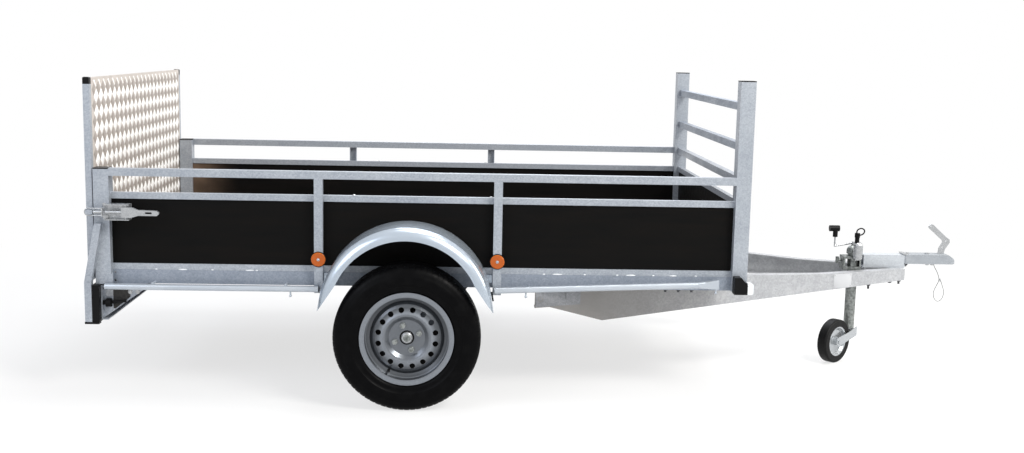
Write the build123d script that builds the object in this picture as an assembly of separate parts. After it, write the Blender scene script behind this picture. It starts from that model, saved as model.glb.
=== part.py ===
from build123d import *
import os
from math import atan2, cos, degrees, hypot, radians, sin, sqrt, tan

# Single-axle box trailer with a drop-down loading ramp, a V-shaped drawbar and a jockey wheel.
# Millimetres. +X points forward to the coupling, +Y to the left, +Z up from the ground.
# Pieces are drawn with X measured from the axle. write() then moves them all by AXLE_X, so that
# X = 0 lies midway between the rear guards and the nose of the coupling. "Right" is the -Y side.

# ---------------------------------------------------------------- box and chassis
BOX_LENGTH = 2585.0          # outside the corner posts
REAR_OVERHANG = 1232.0       # axle to the rear face of the rear posts
BOX_WIDTH = 1500.0           # outside the corner posts
POST = 60.0                  # corner post, square tube
POST_WALL = 3.0
SIDE_TOP = 905.0             # top of the side rails and lower posts
BEAM_BOTTOM = 446.0          # underside of the chassis beams
BEAM_HEIGHT = 55.0
BEAM_WIDTH = 50.0
BEAM_WALL = 3.0
BEAM_INSET = 25.0            # side beam's web, in from the posts' outer face
FLOOR_THICK = 15.0
PANEL_THICK = 9.0
PANEL_CLEAR = 0.3            # panel in its rail, each side
PANEL_RAIL_WIDTH = 21.0
PANEL_RAIL_HEIGHT = 25.0
PANEL_RAIL_WALL = 2.0
PANEL_RAIL_INSET = 27.5      # rail's outer face, in from the posts' outer face
PANEL_TOP_RAIL_TOP = 808.0
TOP_RAIL = 30.0              # square tube along the top of the sides
TOP_RAIL_WALL = 2.0
CROSS_MEMBER_WIDTH = 50.0
CROSS_MEMBER_COUNT = 4       # between the two end members
DRAIN_R = 4.0
FIT = 0.5                    # general assembly clearance

# side stays, one at each end of the wheel arch
STAY_OFFSET = 354.0          # mudguard's middle to a stay's middle
STAY_WIDTH = 34.0
STAY_WALL = 3.0
STAY_BOTTOM = 420.0
REFLECTOR_R = 28.0
REFLECTOR_RIM_R = 31.0
REFLECTOR_RIM_THICK = 4.0
REFLECTOR_THICK = 8.0
REFLECTOR_Z = 556.0

# headboard frame, plugged into the front posts
HEADBOARD_TOP = 1289.0
HEADBOARD_BAR = 30.0
HEADBOARD_BAR_LOW = 1025.0
HEADBOARD_BAR_HIGH = 1185.0
SPIGOT_LENGTH = 90.0
CAP_THICK = 4.0

# ---------------------------------------------------------------- ramp
RAMP_TUBE = 25.0
RAMP_TUBE_WALL = 2.0
RAMP_GAP = 5.0               # rear posts to ramp
RAMP_SIDE_GAP = 6.0          # ramp side to rear guard
HINGE_Z = 472.0
HINGE_PIN_R = 8.0
HINGE_RUNNING = 0.05
RAMP_TOP = 1255.0
RAMP_CAP_HEIGHT = 27.0
RAMP_PLATE_THICK = 3.0
RAMP_BARS = 3                # crossbars behind the plate
RAMP_PLATE_DROP = 1.0        # plate's top edge below the caps' tops

# ---------------------------------------------------------------- rear guards and lamps
GUARD = 27.0                 # square tube of the guards
GUARD_TOP = 690.0
GUARD_LEAN = 45.0            # how far the guard leans back from the post
GUARD_BEND_Z = 456.0
GUARD_BOTTOM = 298.0
GUARD_BEHIND_RAMP = 7.5
GUARD_FOOT_HEIGHT = 8.0
LIGHT_BAR_TOP = 440.0
LIGHT_BAR_BOTTOM = 302.0
LIGHT_BAR_THICK = 4.0
LIGHT_BAR_FLANGE = 22.0
LIGHT_BAR_SET_IN = 19.0      # rear posts' rear face to the bar's rear face
LAMP_DEPTH = 28.0
LAMP_LENGTH = 225.0
LAMP_HEIGHT = 146.0
LAMP_END_GAP = 2.0
LAMP_LENS = 6.0
LAMP_RIM = 4.0               # housing's edge round the lens
LENS_GROOVE = 3.0            # between the lens's two fields
GUSSET_REACH = 176.0
GUSSET_THICK = 5.0
GUSSET_LIP = 14.0            # gusset's height where it runs out under the beam
CORNER_PLATE = 46.0
CORNER_PLATE_THICK = 3.0

# latch on each side, between the rear post and the ramp
LATCH_Z = 737.5
LATCH_OUT = 37.0             # loop's middle, out from the posts' outer face
LATCH_LOOP_R = 13.5
LATCH_ROD_R = 3.0
LATCH_LOOP_AHEAD = 8.0       # middle of the loop's arc, ahead of the ramp's middle
LATCH_LOOP_LENGTH = 51.5     # middle of the arc to the yoke
LATCH_BARREL_R = 6.5
LATCH_BASE_START = 36.0      # base's rear edge, from the rear post's rear face
LATCH_BASE_LENGTH = 112.0
LATCH_BASE_HEIGHT = 62.0
LATCH_FLAP_START = 16.0      # flaps' rear edge, from the base's
LATCH_PLATE = 3.0
LATCH_PIVOT_AHEAD = 96.0     # lever's pivot, from the base's rear edge
LATCH_HANDLE = 131.0         # lever's end, from its pivot
KEEPER_LENGTH = 27.0
KEEPER_CLEAR = 6.0           # keeper's hook, out from the rear post
KEEPER_AHEAD = 8.0           # keeper's rear round, ahead of the ramp's middle

# ---------------------------------------------------------------- axle and wheels
TYRE_R = 286.0
TYRE_WIDTH = 157.0
TRACK_HALF = 893.0           # middle of the trailer to the middle of a tyre
RIM_FLANGE_R = 182.0
RIM_SEAT_R = 165.0
RIM_WIDTH = 114.0            # between the flanges
RIM_THICK = 3.0
RIM_FLANGE_EDGE = 6.0        # flange, outside the bead
BEAD_CLEAR = 0.3             # tyre bead to rim
MOUNT_FACE_OUT = 27.0        # hub face, out from the middle of the rim
WHEEL_PCD = 100.0
WHEEL_BOLTS = 4
WHEEL_BOLT_ANGLE = 20.0
VENT_HOLES = 16
VENT_R = 11.0
VENT_CIRCLE_R = 112.0
HUB_R = 68.0
HUB_FLANGE_THICK = 10.0
HUB_BARREL_R = 34.0
HUB_BARREL = 62.0            # length inside the flange
HUB_CAP_R = 22.0
HUB_CAP_OUT = 16.0
CENTRE_BORE_R = 28.5
STUB_R = 15.0
STUB_RUNNING = 0.05
AXLE_TUBE = 70.0
AXLE_TUBE_WALL = 5.0
ARM_LENGTH_X = 150.0         # axle tube ahead of the stub axle
ARM_RISE = 68.0              # axle tube above the stub axle
ARM_THICK = 26.0
ARM_IN = 722.0               # inner face of the swing arm
ARM_WIDTH = 64.0
AXLE_BRACKET = 120.0         # length of the plate up to a side beam
AXLE_BRACKET_THICK = 8.0

# ---------------------------------------------------------------- mudguard
GUARD_X = -6.0               # crown's centre, ahead of the axle
GUARD_R = 335.0              # outside of the crown
GUARD_Z = 381.0              # height of the crown's centre
GUARD_INNER = 753.0          # inner edge, from the middle of the trailer
GUARD_OUTER = 975.0
GUARD_SHOULDER = 42.0
GUARD_THICK = 2.0
GUARD_HALF_ANGLE = 80.0      # the crown's arc, to each side of its top
GUARD_TAIL = 50.0            # straight run below the arc at each end
SKIRT_R = 289.0              # lower edge of the outer skirt
SKIRT_HALF_ANGLE = 66.0
SKIRT_LIP = 18.0             # skirt below the shoulder
BUFFER_LENGTH = 36.0         # rubber on the crown's inner edge
BUFFER_THICK = 14.0
BUFFER_WIDTH = 14.0
STRUT_ANGLE = 74.0
STRUT_PLATE = 22.0
STRUT_R = 8.0

# ---------------------------------------------------------------- tie tubes
TIE_R = 12.5
TIE_WALL = 2.0
TIE_OUT = 18.0               # tube's middle, out from the posts' outer face
TIE_REAR_AHEAD = 40.0           # rear tube's start, ahead of the posts' rear face
TIE_REAR_LENGTH = 834.0
TIE_REAR_Z = 440.0
TIE_FRONT_BEHIND = 116.0        # front tube's end, behind the posts' front face
TIE_FRONT_LENGTH = 899.0
TIE_FRONT_Z = 442.5
TIE_FRONT_RISE = 0.0393      # climb per unit of length
TIE_FLARE_LENGTH = 87.0
TIE_FLARE_HALF = 20.0        # half height of the flattened end
TIE_FLARE_THICK = 4.0
TIE_CAP = 3.0
TIE_HOOK_R = 3.5
TIE_BOSS_R = 6.0

# ---------------------------------------------------------------- drawbar and coupling
DRAWBAR_REAR_X = 503.0
DRAWBAR_FRONT_X = 2255.0
DRAWBAR_REAR_Y = 715.0       # outer face at the rear end
DRAWBAR_FRONT_Y = 56.0       # outer face at the front end
DRAWBAR_FLANGE = 42.0
DRAWBAR_WALL = 4.0
DRAWBAR_NOSE_TOP = 423.0
DRAWBAR_NOSE_LEVEL = 425.0   # length of the level top under the draw tube
DRAWBAR_REAR_DEPTH = 84.0
DRAWBAR_MAX_DEPTH = 156.0
DRAWBAR_MAX_X = 790.0
DRAWBAR_STEP_X = 565.0
DRAWBAR_NOSE_DEPTH = 52.0
DRAW_TUBE = 60.0
DRAW_TUBE_WALL = 4.0
DRAW_TUBE_REAR_X = 2068.0
COUPLING_REAR_X = 2262.0
COUPLING_NOSE_X = 2503.5
COUPLING_OVER = 3.0          # head's top above the draw tube's top
COUPLING_HEIGHT = 43.0
COUPLING_HALF = 34.0         # half width of the head
COUPLING_TONGUE = 60.0       # part of the head inside the draw tube
NOSE_ROUND = 30.0            # the nose's corners, seen from above
BALL_X = 2460.0
BALL_R = 25.0
BALL_CLEAR = 0.3
BALL_DEPTH = 13.0            # ball's middle above the head's lower edge
LEVER_THICK = 10.0
LEVER_HOLE_R = 4.0

MARKER_DEPTH = 42.0
MARKER_LENGTH = 53.0
MARKER_LENS = 24.0
MARKER_HEIGHT = 69.0
MARKER_LENS_HEIGHT = 46.0
MARKER_BELOW = 4.0           # lamp's foot below the side beam
MARKER_SLOPE = (26.0, 32.0)  # length and height cut from the upper front corner
EYE_R = 11.5                 # tie eye in the drawbar's web
EYE_X = 526.0
EYE_BELOW = 49.0             # eye's middle below the beam

# ---------------------------------------------------------------- jockey wheel
JOCKEY_X = 2006.0
JOCKEY_IN = 90.0             # tube's axis, inside the right beam's outer face
JOCKEY_TUBE_R = 24.0
JOCKEY_TUBE_WALL = 3.0
JOCKEY_TUBE_BOTTOM = 146.0
JOCKEY_TUBE_TOP = 494.0
JOCKEY_DOME_R = 30.0
JOCKEY_DOME_STRAIGHT = 10.0
JOCKEY_INNER_WALL = 3.0
JOCKEY_RUNNING = 0.1
JOCKEY_TRAVEL = 180.0        # how far the wheel can be wound down from here
JOCKEY_SWIVEL = 40.0         # how far the wheel is swung from straight behind
JOCKEY_TRAIL = 118.0
JOCKEY_WHEEL_R = 100.0
JOCKEY_WHEEL_WIDTH = 48.0
JOCKEY_RIM_R = 68.0
JOCKEY_AXLE_R = 8.0
JOCKEY_AXLE_RUNNING = 0.05
FORK_GAP = 5.0               # fork to tyre
FORK_PLATE = 4.0
FORK_CHEEK_R = 22.0
FORK_SEAT_GAP = 0.5          # fork's head below the slider
SWIVEL_PIN_R = 8.0
SWIVEL_PIN_LENGTH = 34.0
CLAMP_LENGTH = 80.0
CLAMP_BACK = 12.0            # clamp's middle behind the jockey tube's axis
CLAMP_OUT = 34.0             # jockey tube's axis to the clamp's window plate
CLAMP_PLATE = 4.0
CLAMP_HEIGHT = 61.0
CRANK_REACH = 88.0
CRANK_RISE = 44.0            # rod above the dome's top
GRIP_STEM = 28.0
GRIP_LENGTH = 45.0
GRIP_R = 14.0
CRANK_ROD_R = 3.5
PLUG_AHEAD = 3.5             # holder's axis ahead of the jockey tube's
PLUG_OUT = 56.0              # jockey tube's axis to the plug holder's axis
PLUG_R = 21.0
PLUG_STRAIGHT = 52.0         # holder below its dome
PLUG_BACK = 7.0              # plug's axis behind the holder's
PLUG_BODY_R = 10.0
PLUG_LENGTH = 58.0
STRAP_R = 3.0
WIRE_X = 2410.0
WIRE_R = 1.5
WIRE_GAP = 3.4               # between the two ends of the loop at its crimp

# ---------------------------------------------------------------- derived places
HALF = BOX_WIDTH / 2
BOX_REAR = -REAR_OVERHANG
BOX_FRONT = BOX_REAR + BOX_LENGTH
TIE_REAR_X = (BOX_REAR + TIE_REAR_AHEAD, BOX_REAR + TIE_REAR_AHEAD + TIE_REAR_LENGTH)
TIE_FRONT_X = (BOX_FRONT - TIE_FRONT_BEHIND - TIE_FRONT_LENGTH, BOX_FRONT - TIE_FRONT_BEHIND)
POST_IN = HALF - POST
BEAM_TOP = BEAM_BOTTOM + BEAM_HEIGHT
BEAM_OUT = HALF - BEAM_INSET
FLOOR_TOP = BEAM_TOP + FLOOR_THICK
RAIL_OUT = HALF - PANEL_RAIL_INSET
RAIL_MID = RAIL_OUT - PANEL_RAIL_WIDTH / 2
RAMP_FRONT_X = BOX_REAR - RAMP_GAP
RAMP_MID_X = RAMP_FRONT_X - RAMP_TUBE / 2
GUARD_REAR_X = RAMP_FRONT_X - RAMP_TUBE - GUARD_BEHIND_RAMP
RAMP_HALF = HALF - RAMP_SIDE_GAP
REAR_END = GUARD_REAR_X
AXLE_X = -(REAR_END + COUPLING_NOSE_X) / 2
MOUNT_FACE_Y = TRACK_HALF + MOUNT_FACE_OUT
FRONT_MID_X = BOX_FRONT - POST / 2
PANEL_Z = (BEAM_TOP + PANEL_RAIL_WALL, PANEL_TOP_RAIL_TOP - PANEL_RAIL_WALL)
STAY_MIDS = (GUARD_X - STAY_OFFSET, GUARD_X + STAY_OFFSET)
LATCH_LOOP_X = RAMP_MID_X + LATCH_LOOP_AHEAD
LATCH_YOKE_X = LATCH_LOOP_X + LATCH_LOOP_LENGTH
LATCH_BASE_X = (BOX_REAR + LATCH_BASE_START, BOX_REAR + LATCH_BASE_START + LATCH_BASE_LENGTH)
LATCH_FLAP_X = LATCH_BASE_X[0] + LATCH_FLAP_START
LATCH_PIVOT_X = LATCH_BASE_X[0] + LATCH_PIVOT_AHEAD
LATCH_HANDLE_END = LATCH_PIVOT_X + LATCH_HANDLE
SIDES = (("right", -1), ("left", 1))


def block(x, y, z):
    """Box between the pairs x, y and z, given low and high in either order."""
    size = [abs(b - a) for a, b in (x, y, z)]
    middle = [(a + b) / 2 for a, b in (x, y, z)]
    return Pos(*middle) * Box(*size)


def mirrored(shape, side):
    """Shape drawn for the left (+Y), put on the given side (+1 left, -1 right)."""
    return shape if side > 0 else mirror(shape, about=Plane.XZ)


def both(shape):
    """The left-hand shape and its right-hand twin."""
    return [shape, mirror(shape, about=Plane.XZ)]


def rod(start, end, r, inner=0.0):
    """Round bar or tube from start to end."""
    a, b = Vector(*start), Vector(*end)
    plane = Plane(origin=a, z_dir=b - a)
    face = Circle(r) - Circle(inner) if inner else Circle(r)
    return extrude(plane * face, (b - a).length)


def square_tube_x(x, y_mid, z_mid, size, wall):
    """Square tube along X."""
    h = size / 2
    outer = block(x, (y_mid - h, y_mid + h), (z_mid - h, z_mid + h))
    w = h - wall
    return outer - block((x[0] - 1, x[1] + 1), (y_mid - w, y_mid + w), (z_mid - w, z_mid + w))


def square_tube_y(y, x_mid, z_mid, size, wall):
    """Square tube along Y."""
    h = size / 2
    outer = block((x_mid - h, x_mid + h), y, (z_mid - h, z_mid + h))
    w = h - wall
    return outer - block((x_mid - w, x_mid + w), (y[0] - 1, y[1] + 1), (z_mid - w, z_mid + w))


def square_tube_z(z, x_mid, y_mid, size, wall):
    """Square tube along Z."""
    h = size / 2
    outer = block((x_mid - h, x_mid + h), (y_mid - h, y_mid + h), z)
    w = h - wall
    return outer - block((x_mid - w, x_mid + w), (y_mid - w, y_mid + w), (z[0] - 1, z[1] + 1))


def side_face(points, y0, y1):
    """Polygon of (x, z) points drawn in the XZ plane, extruded from y0 to y1."""
    wire = Polyline(*[(x, y0, z) for x, z in points], close=True)
    return extrude(make_face(wire), y1 - y0, dir=(0, 1, 0))


# ---------------------------------------------------------------- floor and chassis
def floor_board():
    """Plywood floor between the side rails, from the rear edge to the front panel's rail."""
    half = POST_IN - FIT
    x = (BOX_REAR, FRONT_MID_X - PANEL_RAIL_WIDTH / 2 - PANEL_CLEAR)
    return block(x, (-half, half), (BEAM_TOP, FLOOR_TOP))


def side_beams():
    """Channels with the web outside, each with two drain holes at its rear end."""
    x = (BOX_REAR + POST, BOX_FRONT - POST)
    y_in = BEAM_OUT - BEAM_WIDTH
    beam = block(x, (y_in, BEAM_OUT), (BEAM_BOTTOM, BEAM_TOP))
    beam -= block((x[0] - 1, x[1] + 1), (y_in - 1, BEAM_OUT - BEAM_WALL),
                  (BEAM_BOTTOM + BEAM_WALL, BEAM_TOP - BEAM_WALL))
    for z in (BEAM_BOTTOM + 11, BEAM_TOP - 11):
        beam -= rod((x[0] + 10, BEAM_OUT - BEAM_WALL - 1, z), (x[0] + 10, BEAM_OUT + 1, z), DRAIN_R)
    return both(beam)


def cross_members():
    """Open-bottomed channels across the chassis: one between each pair of posts and the rest between."""
    first, last = BOX_REAR + POST / 2, BOX_FRONT - POST / 2
    step = (last - first) / (CROSS_MEMBER_COUNT + 1)
    members = []
    for i in range(CROSS_MEMBER_COUNT + 2):
        end = i in (0, CROSS_MEMBER_COUNT + 1)
        half, w = (POST_IN, POST / 2) if end else (BEAM_OUT - BEAM_WIDTH, CROSS_MEMBER_WIDTH / 2)
        x = first + i * step
        member = block((x - w, x + w), (-half, half), (BEAM_BOTTOM, BEAM_TOP))
        member -= block((x - w + BEAM_WALL, x + w - BEAM_WALL), (-half - 1, half + 1),
                        (BEAM_BOTTOM - 1, BEAM_TOP - BEAM_WALL))
        members.append(member)
    return members


def rear_posts():
    """Posts with a triangular plate outside each foot, towards the side beam."""
    post = square_tube_z((BEAM_BOTTOM, SIDE_TOP - CAP_THICK), BOX_REAR + POST / 2,
                         HALF - POST / 2, POST, POST_WALL)
    corner = BOX_REAR + POST
    plate = side_face([(corner - CORNER_PLATE, BEAM_BOTTOM), (corner + 8, BEAM_BOTTOM),
                       (corner + 8, BEAM_BOTTOM + CORNER_PLATE)], HALF, HALF + CORNER_PLATE_THICK)
    return both(post + plate)


def front_posts():
    post = square_tube_z((BEAM_BOTTOM, SIDE_TOP), BOX_FRONT - POST / 2,
                         HALF - POST / 2, POST, POST_WALL)
    return both(post)


def side_top_rails():
    rail = square_tube_x((BOX_REAR + POST, BOX_FRONT - POST), HALF - TOP_RAIL / 2,
                         SIDE_TOP - TOP_RAIL / 2, TOP_RAIL, TOP_RAIL_WALL)
    return both(rail)


def panel_channel(length_axis, span, mid, z0, z1, opening):
    """U-shaped rail that holds a panel's edge; opening is +1 when it opens upwards."""
    w = PANEL_RAIL_WIDTH / 2
    slot = PANEL_THICK / 2 + PANEL_CLEAR
    slot_z = (z0 + PANEL_RAIL_WALL, z1 + 1) if opening > 0 else (z0 - 1, z1 - PANEL_RAIL_WALL)
    long = (span[0] - 1, span[1] + 1)
    if length_axis == "x":
        return block(span, (mid - w, mid + w), (z0, z1)) - block(long, (mid - slot, mid + slot), slot_z)
    return block((mid - w, mid + w), span, (z0, z1)) - block((mid - slot, mid + slot), long, slot_z)


def panel_rails():
    span = (BOX_REAR + POST, BOX_FRONT - POST)
    top = panel_channel("x", span, RAIL_MID, PANEL_TOP_RAIL_TOP - PANEL_RAIL_HEIGHT,
                        PANEL_TOP_RAIL_TOP, -1)
    foot = panel_channel("x", span, RAIL_MID, BEAM_TOP, BEAM_TOP + PANEL_RAIL_HEIGHT, 1)
    return both(top) + both(foot)


def side_panels():
    t = PANEL_THICK / 2
    panel = block((BOX_REAR + POST, BOX_FRONT - POST), (RAIL_MID - t, RAIL_MID + t), PANEL_Z)
    return both(panel)


def front_panel():
    t = PANEL_THICK / 2
    return block((FRONT_MID_X - t, FRONT_MID_X + t), (-POST_IN, POST_IN), PANEL_Z)


def front_rails():
    span = (-POST_IN, POST_IN)
    top = square_tube_y(span, FRONT_MID_X, SIDE_TOP - TOP_RAIL / 2, TOP_RAIL, TOP_RAIL_WALL)
    cap = panel_channel("y", span, FRONT_MID_X, PANEL_TOP_RAIL_TOP - PANEL_RAIL_HEIGHT,
                        PANEL_TOP_RAIL_TOP, -1)
    foot = panel_channel("y", span, FRONT_MID_X, BEAM_TOP, BEAM_TOP + PANEL_RAIL_HEIGHT, 1)
    return [top, cap, foot]


def side_stays():
    """Channels bolted outside the panels, open side inwards."""
    pieces = []
    for x in STAY_MIDS:
        w = STAY_WIDTH / 2
        stay = block((x - w, x + w), (BEAM_OUT, HALF), (STAY_BOTTOM, SIDE_TOP - TOP_RAIL))
        stay -= block((x - w + STAY_WALL, x + w - STAY_WALL), (BEAM_OUT - 1, HALF - STAY_WALL),
                      (STAY_BOTTOM - 1, SIDE_TOP - TOP_RAIL + 1))
        pieces += both(stay)
    return pieces


def side_reflectors():
    """Round amber lenses, each in front of its rim and with a domed face."""
    pieces = []
    for x in STAY_MIDS:
        base = HALF + REFLECTOR_RIM_THICK
        lens = rod((x, base, REFLECTOR_Z), (x, HALF + REFLECTOR_THICK, REFLECTOR_Z), REFLECTOR_R)
        pieces += both(chamfer(lens.edges().sort_by(Axis.Y)[-1], 2))
    return pieces


def reflector_rims():
    pieces = []
    for x in STAY_MIDS:
        rim_disc = rod((x, HALF, REFLECTOR_Z), (x, HALF + REFLECTOR_RIM_THICK, REFLECTOR_Z),
                       REFLECTOR_RIM_R)
        pieces += both(rim_disc)
    return pieces


# ---------------------------------------------------------------- headboard
def headboard_posts():
    """Upper posts, each with a spigot that drops into the front post below."""
    x, y = FRONT_MID_X, HALF - POST / 2
    post = square_tube_z((SIDE_TOP, HEADBOARD_TOP - CAP_THICK), x, y, POST, POST_WALL)
    spigot = square_tube_z((SIDE_TOP - SPIGOT_LENGTH, SIDE_TOP + SPIGOT_LENGTH / 3), x, y,
                           POST - 2 * POST_WALL - 2 * PANEL_CLEAR, POST_WALL)
    collar_w = POST / 2 - POST_WALL
    ring = block((x - collar_w, x + collar_w), (y - collar_w, y + collar_w),
                 (SIDE_TOP, SIDE_TOP + SPIGOT_LENGTH / 3))
    ring -= square_core(x, y, (SIDE_TOP - 1, SIDE_TOP + SPIGOT_LENGTH / 3 + 1))
    return both(post + ring + spigot)


def square_core(x, y, z):
    """Clear space inside a headboard spigot."""
    w = POST / 2 - 2 * POST_WALL - PANEL_CLEAR
    return block((x - w, x + w), (y - w, y + w), z)


def headboard_bars():
    return [square_tube_y((-POST_IN, POST_IN), FRONT_MID_X, z, HEADBOARD_BAR, TOP_RAIL_WALL)
            for z in (HEADBOARD_BAR_LOW, HEADBOARD_BAR_HIGH)]


def plug_cap(x, y, z, size, wall):
    """Plastic cap in the open top of a square tube: a plate with a plug below it."""
    h, w = size / 2, size / 2 - wall - PANEL_CLEAR
    plate = block((x - h, x + h), (y - h, y + h), (z, z + CAP_THICK))
    return plate + block((x - w, x + w), (y - w, y + w), (z - 3 * CAP_THICK, z))


def post_caps():
    y = HALF - POST / 2
    rear = plug_cap(BOX_REAR + POST / 2, y, SIDE_TOP - CAP_THICK, POST, POST_WALL)
    front = plug_cap(FRONT_MID_X, y, HEADBOARD_TOP - CAP_THICK, POST, POST_WALL)
    return both(rear) + both(front)


# ---------------------------------------------------------------- ramp
RAMP_CAP_Z = RAMP_TOP - RAMP_CAP_HEIGHT
RAMP_SIDE_Y = RAMP_HALF - RAMP_TUBE / 2


def ramp_frame():
    """Hinge tube, two side tubes, a top tube and crossbars, welded together."""
    h = RAMP_TUBE / 2
    bore = HINGE_PIN_R + HINGE_RUNNING
    frame = rod((RAMP_MID_X, -RAMP_HALF, HINGE_Z), (RAMP_MID_X, RAMP_HALF, HINGE_Z), h)
    side = block((RAMP_MID_X - h, RAMP_MID_X + h), (RAMP_HALF - RAMP_TUBE, RAMP_HALF),
                 (HINGE_Z, RAMP_CAP_Z))
    for tube in both(side):
        frame += tube
    inner = RAMP_HALF - RAMP_TUBE
    top_mid = RAMP_TOP - RAMP_CAP_HEIGHT - h
    step = (top_mid - HINGE_Z) / (RAMP_BARS + 1)
    for i in range(1, RAMP_BARS + 2):
        z = HINGE_Z + i * step
        x = (RAMP_MID_X - h, RAMP_MID_X + h - RAMP_PLATE_THICK)
        frame += block(x, (-inner, inner), (z - h, z + h))
    for keeper in both(ramp_keeper()):
        frame += keeper
    return frame - rod((RAMP_MID_X, -HALF, HINGE_Z), (RAMP_MID_X, HALF, HINGE_Z), bore)


def ramp_plate():
    """Aluminium tread plate on the loading face, between the side tubes."""
    inner = RAMP_HALF - RAMP_TUBE
    x = RAMP_MID_X + RAMP_TUBE / 2
    return block((x - RAMP_PLATE_THICK, x), (-inner, inner), (HINGE_Z + RAMP_TUBE / 2 + 1, RAMP_TOP - RAMP_PLATE_DROP))


def ramp_caps():
    h = RAMP_TUBE / 2
    cap = block((RAMP_MID_X - h, RAMP_MID_X + h), (RAMP_HALF - RAMP_TUBE, RAMP_HALF),
                (RAMP_CAP_Z, RAMP_TOP))
    return both(chamfer(cap.faces().sort_by(Axis.Z)[-1].edges(), 3))


def hinge_pins():
    """Headed pins through the guards into the ends of the ramp's hinge tube."""
    out = HALF + GUARD
    pin = rod((RAMP_MID_X, RAMP_HALF - 70, HINGE_Z), (RAMP_MID_X, out, HINGE_Z), HINGE_PIN_R)
    pin += rod((RAMP_MID_X, out, HINGE_Z), (RAMP_MID_X, out + 4, HINGE_Z), 12)
    return both(pin)


# ---------------------------------------------------------------- rear guards and light bar
def rear_guards():
    """Square tubes outside the ramp: leaning back from the post, then straight down."""
    top_x = GUARD_REAR_X + GUARD_LEAN
    points = [(top_x, GUARD_TOP), (GUARD_REAR_X, GUARD_BEND_Z), (GUARD_REAR_X, GUARD_BOTTOM),
              (GUARD_REAR_X + GUARD, GUARD_BOTTOM), (GUARD_REAR_X + GUARD, GUARD_BEND_Z),
              (top_x + GUARD, GUARD_TOP)]
    guard = side_face(points, HALF, HALF + GUARD)
    guard -= rod((RAMP_MID_X, HALF - 1, HINGE_Z), (RAMP_MID_X, HALF + GUARD + 1, HINGE_Z),
                 HINGE_PIN_R + 0.1)
    return both(guard)


LIGHT_BAR_X = BOX_REAR + LIGHT_BAR_SET_IN
LAMP_END_Y = HALF + GUARD - LAMP_END_GAP
LAMP_TOP = GUARD_BOTTOM + LAMP_HEIGHT + LAMP_END_GAP


def guard_feet():
    """Plastic plugs under the guards, wide enough to close the foot of the lamp as well."""
    foot = block((GUARD_REAR_X - 2, LIGHT_BAR_X - 2), (HALF - 2, HALF + GUARD + 2),
                 (GUARD_BOTTOM - GUARD_FOOT_HEIGHT, GUARD_BOTTOM))
    return both(fillet(foot.edges().filter_by(Axis.Z), 3))


def light_bar():
    """Folded plate across the rear below the floor, with a gusset to each side beam."""
    x = (LIGHT_BAR_X, LIGHT_BAR_X + LIGHT_BAR_THICK)
    bar = block(x, (-HALF, HALF), (LIGHT_BAR_BOTTOM, LIGHT_BAR_TOP))
    for z in (LIGHT_BAR_BOTTOM, LIGHT_BAR_TOP - LIGHT_BAR_THICK):
        bar += block((x[1], x[1] + LIGHT_BAR_FLANGE), (-HALF, HALF), (z, z + LIGHT_BAR_THICK))
    corner = LIGHT_BAR_X + GUSSET_REACH
    gusset = side_face([(x[1], LIGHT_BAR_BOTTOM + LIGHT_BAR_THICK), (x[1], BEAM_BOTTOM),
                        (corner, BEAM_BOTTOM), (corner, BEAM_BOTTOM - GUSSET_LIP)],
                       BEAM_OUT, BEAM_OUT + GUSSET_THICK)
    window = block((x[1] + 9, x[1] + 52), (BEAM_OUT - 1, HALF), (BEAM_BOTTOM - 54, BEAM_BOTTOM - 14))
    gusset -= fillet(window.edges().filter_by(Axis.Y), 7)
    for part in both(gusset):
        bar += part
    return bar


def tail_lamps():
    """Black lamp housings on the rear face of the light bar, each a tray for its lens."""
    x0 = LIGHT_BAR_X - LAMP_DEPTH
    lamp = block((x0, LIGHT_BAR_X), (LAMP_END_Y - LAMP_LENGTH, LAMP_END_Y), (GUARD_BOTTOM, LAMP_TOP))
    edge = LAMP_RIM - PANEL_CLEAR
    lamp -= block((x0 - 1, x0 + LAMP_LENS), (LAMP_END_Y - LAMP_LENGTH + edge, LAMP_END_Y - edge),
                  (GUARD_BOTTOM + edge, LAMP_TOP - edge))
    return both(lamp)


def tail_lenses():
    """Red lenses in the housings, in two fields."""
    x0 = LIGHT_BAR_X - LAMP_DEPTH
    lens = block((x0, x0 + LAMP_LENS), (LAMP_END_Y - LAMP_LENGTH + LAMP_RIM, LAMP_END_Y - LAMP_RIM),
                 (GUARD_BOTTOM + LAMP_RIM, LAMP_TOP - LAMP_RIM))
    middle = (GUARD_BOTTOM + LAMP_TOP) / 2
    lens -= block((x0 - 1, x0 + LAMP_LENS / 2), (LAMP_END_Y - LAMP_LENGTH - 1, LAMP_END_Y + 1),
                  (middle - LENS_GROOVE / 2, middle + LENS_GROOVE / 2))
    return both(lens)


# ---------------------------------------------------------------- ramp latches
LATCH_Y = HALF + LATCH_OUT


def latch_bases():
    """Plate on the post that runs on over the panel, with a flap above and below the lever."""
    x0, x1 = LATCH_BASE_X
    z0, z1 = LATCH_Z - LATCH_BASE_HEIGHT / 2, LATCH_Z + LATCH_BASE_HEIGHT / 2
    base = block((x0, x1), (HALF, HALF + LATCH_PLATE), (z0, z1))
    for z in (z0, z1 - LATCH_PLATE):
        base += block((LATCH_FLAP_X, x1), (HALF, LATCH_Y + 8), (z, z + LATCH_PLATE))
    base += rod((LATCH_PIVOT_X, LATCH_Y - 4, z0), (LATCH_PIVOT_X, LATCH_Y - 4, z1), 4)
    base += rod((x0 + 15, HALF, z0 + 8), (x0 + 15, HALF + LATCH_PLATE + 6, z0 + 8), 8)
    return both(base)


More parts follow.
